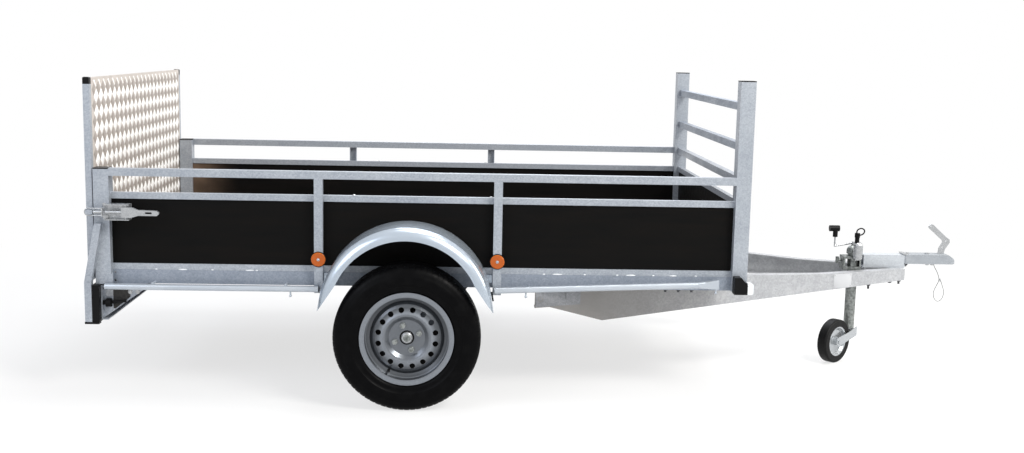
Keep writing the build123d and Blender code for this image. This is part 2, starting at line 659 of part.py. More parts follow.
def latch_levers():
    """Tension barrel and channel-shaped handle, folded forward along the side."""
    lug = LATCH_PIVOT_X
    bore = rod((lug, LATCH_Y - 4, LATCH_Z - 40), (lug, LATCH_Y - 4, LATCH_Z + 40), 4.1)
    barrel = rod((LATCH_FLAP_X + 4, LATCH_Y, LATCH_Z), (lug - 8, LATCH_Y, LATCH_Z), LATCH_BARREL_R)
    nut = block((lug - 14, lug + 8), (LATCH_Y - 11, LATCH_Y + 5), (LATCH_Z - 12, LATCH_Z + 12))
    end, y0, y1 = LATCH_HANDLE_END, LATCH_Y + 5, LATCH_Y + 8
    outline = [(lug - 14, LATCH_Z - 20), (lug + 24, LATCH_Z - 20), (lug + 52, LATCH_Z - 12),
               (end - 8, LATCH_Z - 12), (end, LATCH_Z - 4), (end, LATCH_Z + 2), (end - 10, LATCH_Z + 8),
               (lug + 52, LATCH_Z + 10), (lug + 24, LATCH_Z + 20), (lug - 14, LATCH_Z + 20)]
    web = side_face(outline, y0, y1)
    rim = side_face(outline, y0 - 11, y0) - offset_face(outline, -2.5, y0 - 12, y0 + 1)
    rim -= block((lug - 15, lug - 11), (y0 - 12, y0 + 1), (LATCH_Z - 17, LATCH_Z + 17))
    rim -= block((lug - 15, lug + 9), (y0 - 12, y0 + 1), (LATCH_Z - 17, LATCH_Z + 17))
    slot = Pos(end - 40, LATCH_Y, LATCH_Z - 1) * Rot(90, 0, 0) * SlotOverall(26, 7)
    lever = barrel + nut + web + rim - bore
    return both(lever - extrude(slot, 30, both=True))


def offset_face(points, amount, y0, y1):
    """Prism over the outline of (x, z) points, moved in or out by amount."""
    face = offset(make_face(Polyline(*[(x, 0, z) for x, z in points], close=True)), amount)
    return extrude(Pos(0, y0, 0) * face, y1 - y0, dir=(0, 1, 0))


def latch_loops():
    """Wire loop round the ramp's keeper, with the rod end that pulls it forward."""
    r, z, y = LATCH_LOOP_R, LATCH_Z, LATCH_Y
    path = Wire([Line((LATCH_YOKE_X, y, z + r), (LATCH_LOOP_X, y, z + r)),
                 ThreePointArc((LATCH_LOOP_X, y, z + r), (LATCH_LOOP_X - r, y, z), (LATCH_LOOP_X, y, z - r)),
                 Line((LATCH_LOOP_X, y, z - r), (LATCH_YOKE_X, y, z - r))])
    section = Plane(origin=(LATCH_YOKE_X, y, z + r), z_dir=(-1, 0, 0)) * Circle(LATCH_ROD_R)
    loop = sweep(section, path=path)
    loop += rod((LATCH_YOKE_X, y, z - r - 3.5), (LATCH_YOKE_X, y, z + r + 3.5), LATCH_ROD_R + 1)
    loop += rod((LATCH_LOOP_X + 20, y, z), (LATCH_YOKE_X, y, z), LATCH_BARREL_R)
    return both(loop)


def ramp_keeper():
    """Hook on the ramp's left side tube: a stud, then a rounded head inside the wire loop."""
    x = RAMP_MID_X
    neck_out = HALF + KEEPER_CLEAR
    height = 2 * (LATCH_LOOP_R - LATCH_ROD_R - PANEL_CLEAR)
    stud = rod((x, RAMP_HALF - 2, LATCH_Z), (x, neck_out + 2, LATCH_Z), height / 2 - 1)
    head_x = x + (KEEPER_LENGTH - height) / 2 + KEEPER_AHEAD
    slot = Plane(origin=(head_x, neck_out, LATCH_Z), x_dir=(1, 0, 0), z_dir=(0, 1, 0)) \
        * SlotOverall(KEEPER_LENGTH, height)
    return stud + extrude(slot, LATCH_Y + 9 - neck_out)


# ---------------------------------------------------------------- axle
TUBE_X, TUBE_Z = ARM_LENGTH_X, TYRE_R + ARM_RISE


def axle_tube():
    """Cross tube of the rubber-sprung axle with a bracket up to each side beam."""
    tube = square_tube_y((-ARM_IN + FIT, ARM_IN - FIT), TUBE_X, TUBE_Z, AXLE_TUBE, AXLE_TUBE_WALL)
    h = AXLE_TUBE / 2
    y_mid = BEAM_OUT - BEAM_WIDTH / 2
    long, thick = AXLE_BRACKET / 2, AXLE_BRACKET_THICK / 2
    plate = block((TUBE_X - long, TUBE_X + long), (y_mid - thick, y_mid + thick), (TUBE_Z, BEAM_BOTTOM))
    for bracket in both(plate):
        tube += bracket
    core = h - AXLE_TUBE_WALL
    return tube - block((TUBE_X - core, TUBE_X + core), (-ARM_IN, ARM_IN), (TUBE_Z - core, TUBE_Z + core))


def swing_arm(side):
    """Trailing arm with the stub axle on which the hub turns."""
    arm_out = ARM_IN + ARM_THICK
    angle = degrees(atan2(ARM_RISE, ARM_LENGTH_X))
    length = hypot(ARM_RISE, ARM_LENGTH_X)
    slab = SlotCenterToCenter(length, ARM_WIDTH)
    plane = Plane(origin=(TUBE_X / 2, arm_out, (TUBE_Z + TYRE_R) / 2),
                  x_dir=(cos(radians(angle)), 0, sin(radians(angle))), z_dir=(0, -1, 0))
    arm = extrude(plane * slab, ARM_THICK)
    hub_in = MOUNT_FACE_Y - HUB_FLANGE_THICK - HUB_BARREL
    arm += rod((0, arm_out, TYRE_R), (0, hub_in - FIT, TYRE_R), STUB_R + 8)
    arm += rod((0, hub_in - 1, TYRE_R), (0, MOUNT_FACE_Y - 6, TYRE_R), STUB_R)
    return mirrored(arm, side)


# ---------------------------------------------------------------- wheels
def turned(profile, side):
    """Revolve (radius, out) points about the wheel's axis and put it on a side."""
    wire = Polyline(*[(0, out, TYRE_R + r) for r, out in profile], close=True)
    solid = revolve(make_face(wire), Axis((0, 0, TYRE_R), (0, 1, 0)), 360)
    return mirrored(solid, side)


def tyre(side):
    """Tyre carcass: tread, shoulders, bulged sidewalls and beads."""
    half = TYRE_WIDTH / 2
    mid = TRACK_HALF
    shoulder = half - 22
    bead = RIM_WIDTH / 2 - BEAD_CLEAR
    profile = [
        # radius, half width from the tyre's middle
        (TYRE_R, shoulder - 8), (TYRE_R - 5, shoulder), (TYRE_R - 24, half - 7),
        (TYRE_R - 50, half), (TYRE_R - 72, half - 2), (RIM_FLANGE_R + 6, half - 13),
        (RIM_FLANGE_R + BEAD_CLEAR, bead), (RIM_SEAT_R + BEAD_CLEAR, bead),
        (RIM_SEAT_R + BEAD_CLEAR, bead - 18), (TYRE_R - 40, half - 16), (TYRE_R - 14, shoulder - 20)]
    outline = [(r, mid + w) for r, w in profile] + [(r, mid - w) for r, w in reversed(profile)]
    return turned(outline, side)


def rim(side):
    """Pressed rim with its drop centre, and the disc with vents, bolt holes and centre bore."""
    w, mid, t = RIM_WIDTH / 2, TRACK_HALF, RIM_THICK
    well = RIM_SEAT_R - 18
    outer = [(RIM_FLANGE_R, w + RIM_FLANGE_EDGE), (RIM_FLANGE_R, w + 1), (RIM_SEAT_R, w),
             (RIM_SEAT_R - 1, 30), (well, 22), (well, -10), (RIM_SEAT_R - 1, -22), (RIM_SEAT_R, -w),
             (RIM_FLANGE_R, -w - 1), (RIM_FLANGE_R, -w - RIM_FLANGE_EDGE)]
    inner = [(RIM_FLANGE_R - t, -w - RIM_FLANGE_EDGE), (RIM_FLANGE_R - t, -w - 1 - t),
             (RIM_SEAT_R - t, -w - t), (RIM_SEAT_R - t - 1, -22 - 2), (well - t, -10 - 2),
             (well - t, 22 + 2), (RIM_SEAT_R - t - 1, 30 + 2), (RIM_SEAT_R - t, w + t),
             (RIM_FLANGE_R - t, w + 1 + t), (RIM_FLANGE_R - t, w + RIM_FLANGE_EDGE)]
    barrel = turned([(r, mid + a) for r, a in outer + inner], side)
    face = MOUNT_FACE_Y - mid
    front = [(CENTRE_BORE_R, face + 4), (70, face + 4), (84, face + 16), (94, face + 20),
             (104, face + 16), (122, face + 13), (132, face + 8), (well - t, face - 4)]
    back = [(r - (1.5 if i > 1 else 0), a - 4) for i, (r, a) in enumerate(front)]
    back[-1] = (well - t, face - 16)
    disc = turned([(r, mid + a) for r, a in front + back[::-1]], side)
    whole = barrel + disc
    reach = (MOUNT_FACE_Y - 40, MOUNT_FACE_Y + 40)
    for i in range(VENT_HOLES):
        a = radians((i + 0.5) * 360 / VENT_HOLES)
        x, z = VENT_CIRCLE_R * sin(a), TYRE_R + VENT_CIRCLE_R * cos(a)
        whole -= rod((x, side * reach[0], z), (x, side * reach[1], z), VENT_R)
    for x, z in bolt_places():
        whole -= rod((x, side * reach[0], z), (x, side * reach[1], z), 6.5)
    return whole


def bolt_places():
    places = []
    for i in range(WHEEL_BOLTS):
        a = radians(WHEEL_BOLT_ANGLE + i * 360 / WHEEL_BOLTS)
        places.append((WHEEL_PCD / 2 * cos(a), TYRE_R + WHEEL_PCD / 2 * sin(a)))
    return places


def hub(side):
    """Hub with its flange, wheel bolts and grease cap, bored for the stub axle."""
    face = MOUNT_FACE_Y
    inner = face - HUB_FLANGE_THICK - HUB_BARREL
    body = turned([(STUB_R + STUB_RUNNING, inner), (HUB_BARREL_R, inner), (HUB_BARREL_R, face - HUB_FLANGE_THICK),
                   (HUB_R, face - HUB_FLANGE_THICK), (HUB_R, face), (CENTRE_BORE_R - 0.5, face),
                   (CENTRE_BORE_R - 0.5, face + 3), (HUB_CAP_R, face + 3), (HUB_CAP_R, face + HUB_CAP_OUT - 4),
                   (HUB_CAP_R - 4, face + HUB_CAP_OUT), (0, face + HUB_CAP_OUT), (0, face - 3),
                   (STUB_R + STUB_RUNNING, face - 3)], side)
    for x, z in bolt_places():
        body += rod((x, side * face, z), (x, side * (face + 5), z), 6)
        body += rod((x, side * (face + 4.3), z), (x, side * (face + 15), z), 10)
    return body


# ---------------------------------------------------------------- mudguard
def mudguard(side):
    """Rolled crown with a rounded outer shoulder, whose skirt runs out to a point at each end."""
    r, t, s = GUARD_R, GUARD_THICK, GUARD_SHOULDER
    low = r - s - SKIRT_LIP
    k = sqrt(0.5)

    def at(y, radius):
        return (GUARD_X, y, GUARD_Z + radius)

    turn, edge = GUARD_OUTER - s, GUARD_OUTER
    section = make_face(Wire([
        Line(at(GUARD_INNER, r), at(turn, r)),
        ThreePointArc(at(turn, r), at(turn + s * k, r - s + s * k), at(edge, r - s)),
        Line(at(edge, r - s), at(edge, low)), Line(at(edge, low), at(edge - t, low)),
        Line(at(edge - t, low), at(edge - t, r - s)),
        ThreePointArc(at(edge - t, r - s), at(turn + (s - t) * k, r - s + (s - t) * k), at(turn, r - t)),
        Line(at(turn, r - t), at(GUARD_INNER, r - t)), Line(at(GUARD_INNER, r - t), at(GUARD_INNER, r))]))
    axis = Axis((GUARD_X, 0, GUARD_Z), (0, 1, 0))
    shell = revolve(section.rotate(axis, -GUARD_HALF_ANGLE), axis, 2 * GUARD_HALF_ANGLE)
    a = radians(GUARD_HALF_ANGLE)
    for sign in (-1, 1):
        end = section.rotate(axis, sign * GUARD_HALF_ANGLE)
        shell += extrude(end, GUARD_TAIL, dir=(sign * cos(a), 0, -sin(a)))
    shell -= skirt_opening()
    b = radians(STRUT_ANGLE)
    for sign in (-1, 1):
        x = GUARD_X + sign * (r - t - STRUT_R) * sin(b)
        z = GUARD_Z + (r - t - STRUT_R) * cos(b)
        shell += rod((x, BEAM_OUT, z), (x, turn, z), STRUT_R + 0.2)
        plate_x = x + sign * STRUT_PLATE / 2
        shell += block((plate_x - STRUT_PLATE / 2, plate_x + STRUT_PLATE / 2),
                       (BEAM_OUT, BEAM_OUT + 4), (z - 4, BEAM_TOP - 4))
        shell += rod((plate_x + sign * 2, BEAM_OUT, z + 13), (plate_x + sign * 2, BEAM_OUT + 10, z + 13), 7)
    return mirrored(shell, side)


def guard_tip():
    """Lower end of the crown's tail, as (x from the crown's centre, z)."""
    a = radians(GUARD_HALF_ANGLE)
    return (GUARD_R * sin(a) + GUARD_TAIL * cos(a), GUARD_Z + GUARD_R * cos(a) - GUARD_TAIL * sin(a))


def skirt_opening():
    """Wheel opening cut from the skirt: an arc that runs out straight to the crown's tips."""
    a = radians(SKIRT_HALF_ANGLE)
    ex, ez = SKIRT_R * sin(a), GUARD_Z + SKIRT_R * cos(a)
    tx, tz = guard_tip()
    tx = tx - GUARD_THICK
    y0 = GUARD_OUTER - GUARD_SHOULDER + GUARD_THICK
    c = GUARD_X
    outline = Wire([
        ThreePointArc((c - ex, y0, ez), (c, y0, GUARD_Z + SKIRT_R), (c + ex, y0, ez)),
        Line((c + ex, y0, ez), (c + tx, y0, tz)), Line((c + tx, y0, tz), (c + tx, y0, 0)),
        Line((c + tx, y0, 0), (c - tx, y0, 0)), Line((c - tx, y0, 0), (c - tx, y0, tz)),
        Line((c - tx, y0, tz), (c - ex, y0, ez))])
    return extrude(make_face(outline), 3 * GUARD_SHOULDER, dir=(0, 1, 0))


def guard_buffers():
    """Rubber edging clipped over the inner edge of each tail of the mudguards."""
    a = radians(GUARD_HALF_ANGLE)
    y0 = HALF + PANEL_CLEAR
    slot_depth = BUFFER_WIDTH - (GUARD_INNER - PANEL_CLEAR - y0)
    pieces = []
    for sign in (-1, 1):
        edge = Plane(origin=(GUARD_X + sign * GUARD_R * sin(a), y0, GUARD_Z + GUARD_R * cos(a)),
                     x_dir=(sign * cos(a), 0, -sin(a)), z_dir=(0, 1, 0))
        place = edge * Pos(6 + BUFFER_LENGTH / 2, sign * GUARD_THICK / 2)
        pad = extrude(place * Rectangle(BUFFER_LENGTH, BUFFER_THICK), BUFFER_WIDTH)
        slot = place * Rectangle(BUFFER_LENGTH + 2, GUARD_THICK + 2 * PANEL_CLEAR)
        pad -= Pos(0, BUFFER_WIDTH - slot_depth, 0) * extrude(slot, BUFFER_WIDTH)
        pieces += both(pad)
    return pieces


# ---------------------------------------------------------------- tie tubes
def tie_tubes():
    """Rope rails along the side beams, each carried by stubs and hung with small hooks."""
    y = HALF + TIE_OUT
    x0, x1 = TIE_REAR_X
    rear = rod((x0, y, TIE_REAR_Z), (x1, y, TIE_REAR_Z), TIE_R, TIE_R - TIE_WALL)
    for x in (x0 + 185, x1 - 130):
        rear += tie_boss(x, y, TIE_REAR_Z)
    rear += hook(x1 - 110, y, TIE_REAR_Z)
    x0, x1 = TIE_FRONT_X
    flare_x = x1 - TIE_FLARE_LENGTH

    def height(x):
        return TIE_FRONT_Z + TIE_FRONT_RISE * (x - x0)

    start = (x0, y, TIE_FRONT_Z)
    front = rod(start, (flare_x, y, TIE_FRONT_Z), TIE_R, TIE_R - TIE_WALL)
    front += flattened_end(flare_x, x1, y, TIE_FRONT_Z)
    front = front.rotate(Axis(start, (0, 1, 0)), -degrees(atan2(TIE_FRONT_RISE, 1)))
    for x in (x0 + 140, flare_x - 30):
        front += tie_boss(x, y, height(x))
    front += rod((x1 - 20, BEAM_OUT, height(x1)), (x1 - 20, y, height(x1)), 8)
    front += hook(x0 + 126, y, height(x0 + 126))
    front += hook(x1 - 12, y, height(x1 - 12) - TIE_FLARE_HALF + TIE_R + 3)
    return both(rear) + both(front)


def flattened_end(x0, x1, y, z):
    """Pressed end of a tie tube: a cone that grows in height, thinned to a blade by two flats."""
    base = Plane(origin=(x0, y, z), z_dir=(1, 0, 0))
    cone = base * Cone(TIE_R, TIE_FLARE_HALF, x1 - x0, align=(Align.CENTER, Align.CENTER, Align.MIN))
    wide, thin = TIE_R + 1, TIE_FLARE_THICK
    wedge = make_face(Polyline((x0, y - wide, z), (x1, y - thin, z), (x1, y + thin, z),
                               (x0, y + wide, z), close=True))
    return cone & extrude(wedge, 2 * TIE_FLARE_HALF, both=True)


def tie_caps():
    """Black plugs in the open ends of the tie tubes."""
    y = HALF + TIE_OUT
    pieces = []
    for x, sign, z, rise in ((TIE_REAR_X[0], -1, TIE_REAR_Z, 0), (TIE_REAR_X[1], 1, TIE_REAR_Z, 0),
                             (TIE_FRONT_X[0], -1, TIE_FRONT_Z, TIE_FRONT_RISE)):
        run, back = sign * TIE_CAP, -sign * 8
        cap = rod((x, y, z), (x + run, y, z + run * rise), TIE_R)
        cap += rod((x, y, z), (x + back, y, z + back * rise), TIE_R - TIE_WALL - PANEL_CLEAR)
        pieces += both(cap)
    return pieces


def tie_boss(x, y, z):
    """Stub from the side beam's web out to a tie tube, at the tube's height or the beam's foot."""
    level = max(z, BEAM_BOTTOM + TIE_BOSS_R)
    return rod((x, BEAM_OUT, level), (x, y - 3, level), TIE_BOSS_R)


def hook(x, y, z):
    """Small ball-ended rope hook under a tie tube."""
    low = z - TIE_R - 16
    stem = rod((x, y, z - TIE_R + 1), (x, y, low), TIE_HOOK_R)
    return stem + Pos(x, y, low) * Sphere(TIE_HOOK_R + 2)


# ---------------------------------------------------------------- drawbar
DRAWBAR_RUN = DRAWBAR_FRONT_X - DRAWBAR_REAR_X
DRAWBAR_ANGLE = degrees(atan2(DRAWBAR_REAR_Y - DRAWBAR_FRONT_Y, DRAWBAR_RUN))


def drawbar(side):
    """Tapered channel of the V-shaped drawbar, open side inwards and cut square at the rear."""
    k = 1 / cos(radians(DRAWBAR_ANGLE))

    def along(x):
        return (x - DRAWBAR_REAR_X) * k

    top, nose = BEAM_BOTTOM, DRAWBAR_NOSE_TOP
    level, open_end = DRAWBAR_FRONT_X - DRAWBAR_NOSE_LEVEL, -2 * DRAWBAR_WALL
    points = [(along(DRAWBAR_REAR_X), top), (along(BOX_FRONT), top), (along(level), nose),
              (along(DRAWBAR_FRONT_X), nose), (along(DRAWBAR_FRONT_X), nose - DRAWBAR_NOSE_DEPTH),
              (along(DRAWBAR_MAX_X), top - DRAWBAR_MAX_DEPTH), (along(DRAWBAR_STEP_X), top - DRAWBAR_REAR_DEPTH),
              (along(DRAWBAR_REAR_X), top - DRAWBAR_REAR_DEPTH)]
    bar = side_face(points, 0, -DRAWBAR_FLANGE)
    points[0], points[-1] = (open_end, top), (open_end, top - DRAWBAR_REAR_DEPTH)
    hollow = offset(make_face(Polyline(*[(x, 0, z) for x, z in points], close=True)), -DRAWBAR_WALL)
    bar -= extrude(Pos(0, -DRAWBAR_WALL, 0) * hollow, DRAWBAR_FLANGE, dir=(0, -1, 0))
    eye, eye_z = along(EYE_X), top - EYE_BELOW
    bar -= rod((eye, -DRAWBAR_WALL - 1, eye_z), (eye, 1, eye_z), EYE_R - 4)
    bar += rod((eye, 0, eye_z), (eye, 3, eye_z), EYE_R, EYE_R - 3)
    slot = Plane(origin=(eye + 30, 1, eye_z), x_dir=(0, 0, 1), z_dir=(0, -1, 0)) * SlotOverall(24, 7)
    bar -= extrude(slot, DRAWBAR_WALL + 2)
    bar = Pos(DRAWBAR_REAR_X, DRAWBAR_REAR_Y, 0) * bar.rotate(Axis.Z, -DRAWBAR_ANGLE)
    behind = block((DRAWBAR_REAR_X - DRAWBAR_FLANGE, DRAWBAR_REAR_X), (0, DRAWBAR_REAR_Y + 10), (0, top + 1))
    return mirrored(bar - behind, side)


DRAW_Z = DRAWBAR_NOSE_TOP + DRAW_TUBE / 2


DRAW_TOP = DRAWBAR_NOSE_TOP + DRAW_TUBE
COUPLING_TOP = DRAW_TOP + COUPLING_OVER
COUPLING_BASE = COUPLING_TOP - COUPLING_HEIGHT


def draw_tube():
    """Square tube welded on the two beams' noses."""
    return square_tube_x((DRAW_TUBE_REAR_X, COUPLING_REAR_X), 0, DRAW_Z, DRAW_TUBE, DRAW_TUBE_WALL)


def coupling_head():
    """Pressed coupling: a nose with the ball socket and a tongue inside the draw tube."""
    nose, top, base, w = COUPLING_NOSE_X, COUPLING_TOP, COUPLING_BASE, COUPLING_HALF
    body = side_face([(COUPLING_REAR_X, base), (COUPLING_REAR_X, top), (nose - 38, top), (nose - 11, top - 19),
                      (nose, base + 9), (nose, base)], -w, w)
    plan = Rectangle(nose - COUPLING_REAR_X, 2 * w, align=(Align.MAX, Align.CENTER))
    plan = fillet(plan.vertices().sort_by(Axis.X)[-2:], NOSE_ROUND)
    body &= extrude(Pos(nose, 0, base) * plan, COUPLING_HEIGHT)
    inner = DRAW_TUBE / 2 - DRAW_TUBE_WALL - PANEL_CLEAR
    body += block((COUPLING_REAR_X - COUPLING_TONGUE, COUPLING_REAR_X + 1), (-inner, inner),
                  (base + 2, DRAW_Z + inner))
    r = BALL_R + BALL_CLEAR
    ball_z = base + BALL_DEPTH
    body -= Pos(BALL_X, 0, ball_z) * Sphere(r)
    return body - rod((BALL_X, 0, base - 5), (BALL_X, 0, ball_z), r)


def coupling_lever():
    """Cranked flat handle standing above the head, with three holes."""
    x, z, half = BALL_X, COUPLING_TOP, LEVER_THICK / 2
    points = [(-34, 0), (-9, 0), (-3, 24), (17, 56), (15, 70), (1, 79), (-66, 138), (-76, 140), (-87, 132),
              (-85, 122), (-18, 64), (-16, 56), (-32, 28)]
    lever = side_face([(x + dx, z + dz) for dx, dz in points], -half, half)
    for dx, dz in ((0, 62), (-16, 32), (-76, 130)):
        lever -= rod((x + dx, -half - 1, z + dz), (x + dx, half + 1, z + dz), LEVER_HOLE_R)
    return lever


# ---------------------------------------------------------------- front marker lamps
MARKER_X = BOX_FRONT - POST + 2
MARKER_FOOT = BEAM_BOTTOM - MARKER_BELOW


def marker_bodies():
    """Black housings low on the outside of the front posts, cut back at the upper front corner."""
    x0, x1 = MARKER_X, MARKER_X + MARKER_LENGTH
    z0, z1 = MARKER_FOOT, MARKER_FOOT + MARKER_HEIGHT
    back, down = MARKER_SLOPE
    body = side_face([(x0, z0), (x0, z1), (x1 - back, z1), (x1, z1 - down), (x1, z0)],
                     HALF, HALF + MARKER_DEPTH)
    return both(fillet(body.edges().filter_by(Axis.Y), 2))


def marker_lenses():
    """Rounded clear lenses in front of the housings."""
    x = MARKER_X + MARKER_LENGTH
    lens = block((x, x + MARKER_LENS), (HALF + 2, HALF + MARKER_DEPTH - 2),
                 (MARKER_FOOT, MARKER_FOOT + MARKER_LENS_HEIGHT))
    return both(fillet(lens.edges().filter_by(Axis.Y).sort_by(Axis.X)[-2:], 9))


# ---------------------------------------------------------------- jockey wheel
JOCKEY_Y = JOCKEY_IN - DRAWBAR_FRONT_Y - (DRAWBAR_FRONT_X - JOCKEY_X) * tan(radians(DRAWBAR_ANGLE))
CRANK_SEAT = JOCKEY_TUBE_TOP + JOCKEY_DOME_STRAIGHT + JOCKEY_DOME_R + 2


def jockey_clamp():
    """Folded bracket on the right drawbar beam: two side walls, a plate with two windows, a collar."""
    x, y, z0, t = JOCKEY_X, JOCKEY_Y, DRAWBAR_NOSE_TOP, CLAMP_PLATE
    x0, x1 = x - CLAMP_BACK - CLAMP_LENGTH / 2, x - CLAMP_BACK + CLAMP_LENGTH / 2
    y0, y1, z1 = y - CLAMP_OUT, y + JOCKEY_TUBE_R + 6, z0 + CLAMP_HEIGHT
    clamp = block((x0, x1), (y0, y1), (z0, z0 + t)) + block((x0, x1), (y0, y1), (z1 - t, z1))
    clamp += block((x0, x0 + t), (y0, y1), (z0, z1)) + block((x1 - t, x1), (y0, y1), (z0, z1))
    face = block((x0, x1), (y0, y0 + t), (z0, z1))
    bar = (x0 + x1) / 2
    for wx in ((x0 + 8, bar - 7), (bar + 8, x1 - 6)):
        face -= block(wx, (y0 - 1, y0 + t + 1), (z0 + 14, z1 - 10))
    clamp += face
    clamp += rod((x0 - 20, y, z0 + 40), (x0 + 2, y, z0 + 40), 6)
    clamp += rod((x0 - 20, y, z0 + 25), (x0 - 20, y, z0 + 55), 8)
    hole = JOCKEY_TUBE_R + PANEL_CLEAR
    return clamp - rod((x, y, z0 - 1), (x, y, z1 + 1), hole)


def jockey_tube():
    """Outer tube with the domed gear cap at its top."""
    tube = rod((JOCKEY_X, JOCKEY_Y, JOCKEY_TUBE_BOTTOM), (JOCKEY_X, JOCKEY_Y, JOCKEY_TUBE_TOP),
               JOCKEY_TUBE_R, JOCKEY_TUBE_R - JOCKEY_TUBE_WALL)
    x, y, r = JOCKEY_X, JOCKEY_Y, JOCKEY_DOME_R
    waist = JOCKEY_TUBE_TOP + JOCKEY_DOME_STRAIGHT
    dome = rod((x, y, JOCKEY_TUBE_TOP), (x, y, waist), r) + Pos(x, y, waist) * Sphere(r)
    dome += rod((x, y, waist), (x, y, CRANK_SEAT), 10)
    dome -= block((x - 2 * r, x + 2 * r), (y - 2 * r, y + 2 * r), (0, JOCKEY_TUBE_TOP))
    return tube + dome


def jockey_crank():
    """Crank arm on the screw's head: a bent rod out to the rear and up to the grip."""
    x, y, z = JOCKEY_X, JOCKEY_Y, CRANK_SEAT
    crank = rod((x, y, z), (x, y, z + 12), 9)
    crank += rod((x, y, z + 7), (x - CRANK_REACH, y, z - 8), CRANK_ROD_R + 1)
    crank += rod((x - CRANK_REACH, y, z - 12), (x - CRANK_REACH, y, z + CRANK_RISE), CRANK_ROD_R)
    return crank


def jockey_grip():
    """T-shaped black grip on the crank."""
    x, y, z = JOCKEY_X - CRANK_REACH, JOCKEY_Y, CRANK_SEAT + CRANK_RISE - 10
    top, back = z + GRIP_STEM + GRIP_R - 3, x - 0.62 * GRIP_LENGTH
    grip = rod((x, y, z), (x, y, top), 11) + rod((back, y, top), (back + GRIP_LENGTH, y, top), GRIP_R)
    return grip - rod((x, y, z - 1), (x, y, CRANK_SEAT + CRANK_RISE + FIT), CRANK_ROD_R + 0.1)


# ---------------------------------------------------------------- plug in its holder
PLUG_X = JOCKEY_X + PLUG_AHEAD
PLUG_Y = JOCKEY_Y - PLUG_OUT
PLUG_Z = DRAWBAR_NOSE_TOP + CLAMP_HEIGHT


def safety_wire():
    """Thin wire under the coupling: a straight lead, then a hanging loop back to its crimp."""
    x, y, z = WIRE_X, 0, COUPLING_BASE
    lead = ((0, 0), (0, -12), (20, -42), (34, -80))
    loop = ((20, -108), (8, -138), (13, -170), (33, -187), (54, -170), (60, -138), (50, -108), (40, -82))
    points = [(x + dx, y, z + dz) for dx, dz in lead]
    for i, (dx, dz) in enumerate(loop):
        points.append((x + dx, y + WIRE_GAP * (i + 1) / len(loop), z + dz))
    return cord(points, WIRE_R)


def cord(points, radius):
    """Tube through the points, with the largest arc that each pair of runs allows at its corner."""
    places = [Vector(*point) for point in points]
    arcs = []
    for before, here, after in zip(places, places[1:], places[2:]):
        run, onward = here - before, after - here
        half_turn = radians(run.get_angle(onward)) / 2
        arcs.append(0.45 * min(run.length, onward.length) / tan(half_turn))
    print("cord arcs", [round(arc) for arc in arcs])
    path = FilletPolyline(*points, radius=arcs)
    start = Plane(origin=points[0], z_dir=places[1] - places[0])
    return sweep(start * Circle(radius), path=path)


def plug_holder():
    """Domed socket beside the jockey wheel, on a foot that bolts to the clamp."""
    x, y, r = PLUG_X, PLUG_Y, PLUG_R
    foot_z, waist = PLUG_Z - 6, PLUG_Z + PLUG_STRAIGHT
    body = rod((x, y, foot_z), (x, y, waist), r) + Pos(x, y, waist) * Sphere(r)
    body -= block((x - 2 * r, x + 2 * r), (y - 2 * r, y + 2 * r), (0, foot_z))
    foot = block((x - 12, x + 12), (y, JOCKEY_Y - CLAMP_OUT), (foot_z - 8, foot_z))
    bore = rod((x - PLUG_BACK, y, waist + 2), (x - PLUG_BACK, y, waist + 2 * r), PLUG_BODY_R + PANEL_CLEAR)
    return body + foot - bore


def plug():
    """Plug standing in the holder, with a rubber pull ring that leaves it and comes back to it."""
    x, y, z = PLUG_X - PLUG_BACK, PLUG_Y, PLUG_Z + PLUG_STRAIGHT + 2 + FIT
    top = z + PLUG_LENGTH
    body = rod((x, y, z), (x, y, top - 20), PLUG_BODY_R) + rod((x, y, top - 20), (x, y, top), PLUG_BODY_R + 2)
    points = [(x - 4, y, top - 4), (x - 3, y, top + 14), (x + 16, y, top + 24), (x + 34, y, top + 14),
              (x + 28, y, top - 4), (x + 6, y, top - 12)]
    return body + cord(points, STRAP_R)


SLIDER_BOTTOM = JOCKEY_TUBE_BOTTOM - 3.0
FORK_TOP = SLIDER_BOTTOM - FORK_SEAT_GAP


def jockey_slider():
    """Inner tube that the screw runs up and down, its foot plugged and bored for the swivel pin."""
    x, y, r = JOCKEY_X, JOCKEY_Y, JOCKEY_TUBE_R - JOCKEY_TUBE_WALL - JOCKEY_RUNNING
    top = JOCKEY_TUBE_TOP - 20
    tube = rod((x, y, SLIDER_BOTTOM), (x, y, top), r, r - JOCKEY_INNER_WALL)
    plug = rod((x, y, SLIDER_BOTTOM), (x, y, SLIDER_BOTTOM + SWIVEL_PIN_LENGTH + 6), r - 1,
               SWIVEL_PIN_R + JOCKEY_AXLE_RUNNING)
    return tube + plug


def jockey_place():
    """Frame of the caster: origin on the swivel axis at the ground, x along the trail."""
    a = radians(JOCKEY_SWIVEL)
    return Plane(origin=(JOCKEY_X, JOCKEY_Y, 0), x_dir=(-cos(a), -sin(a), 0), z_dir=(0, 0, 1))


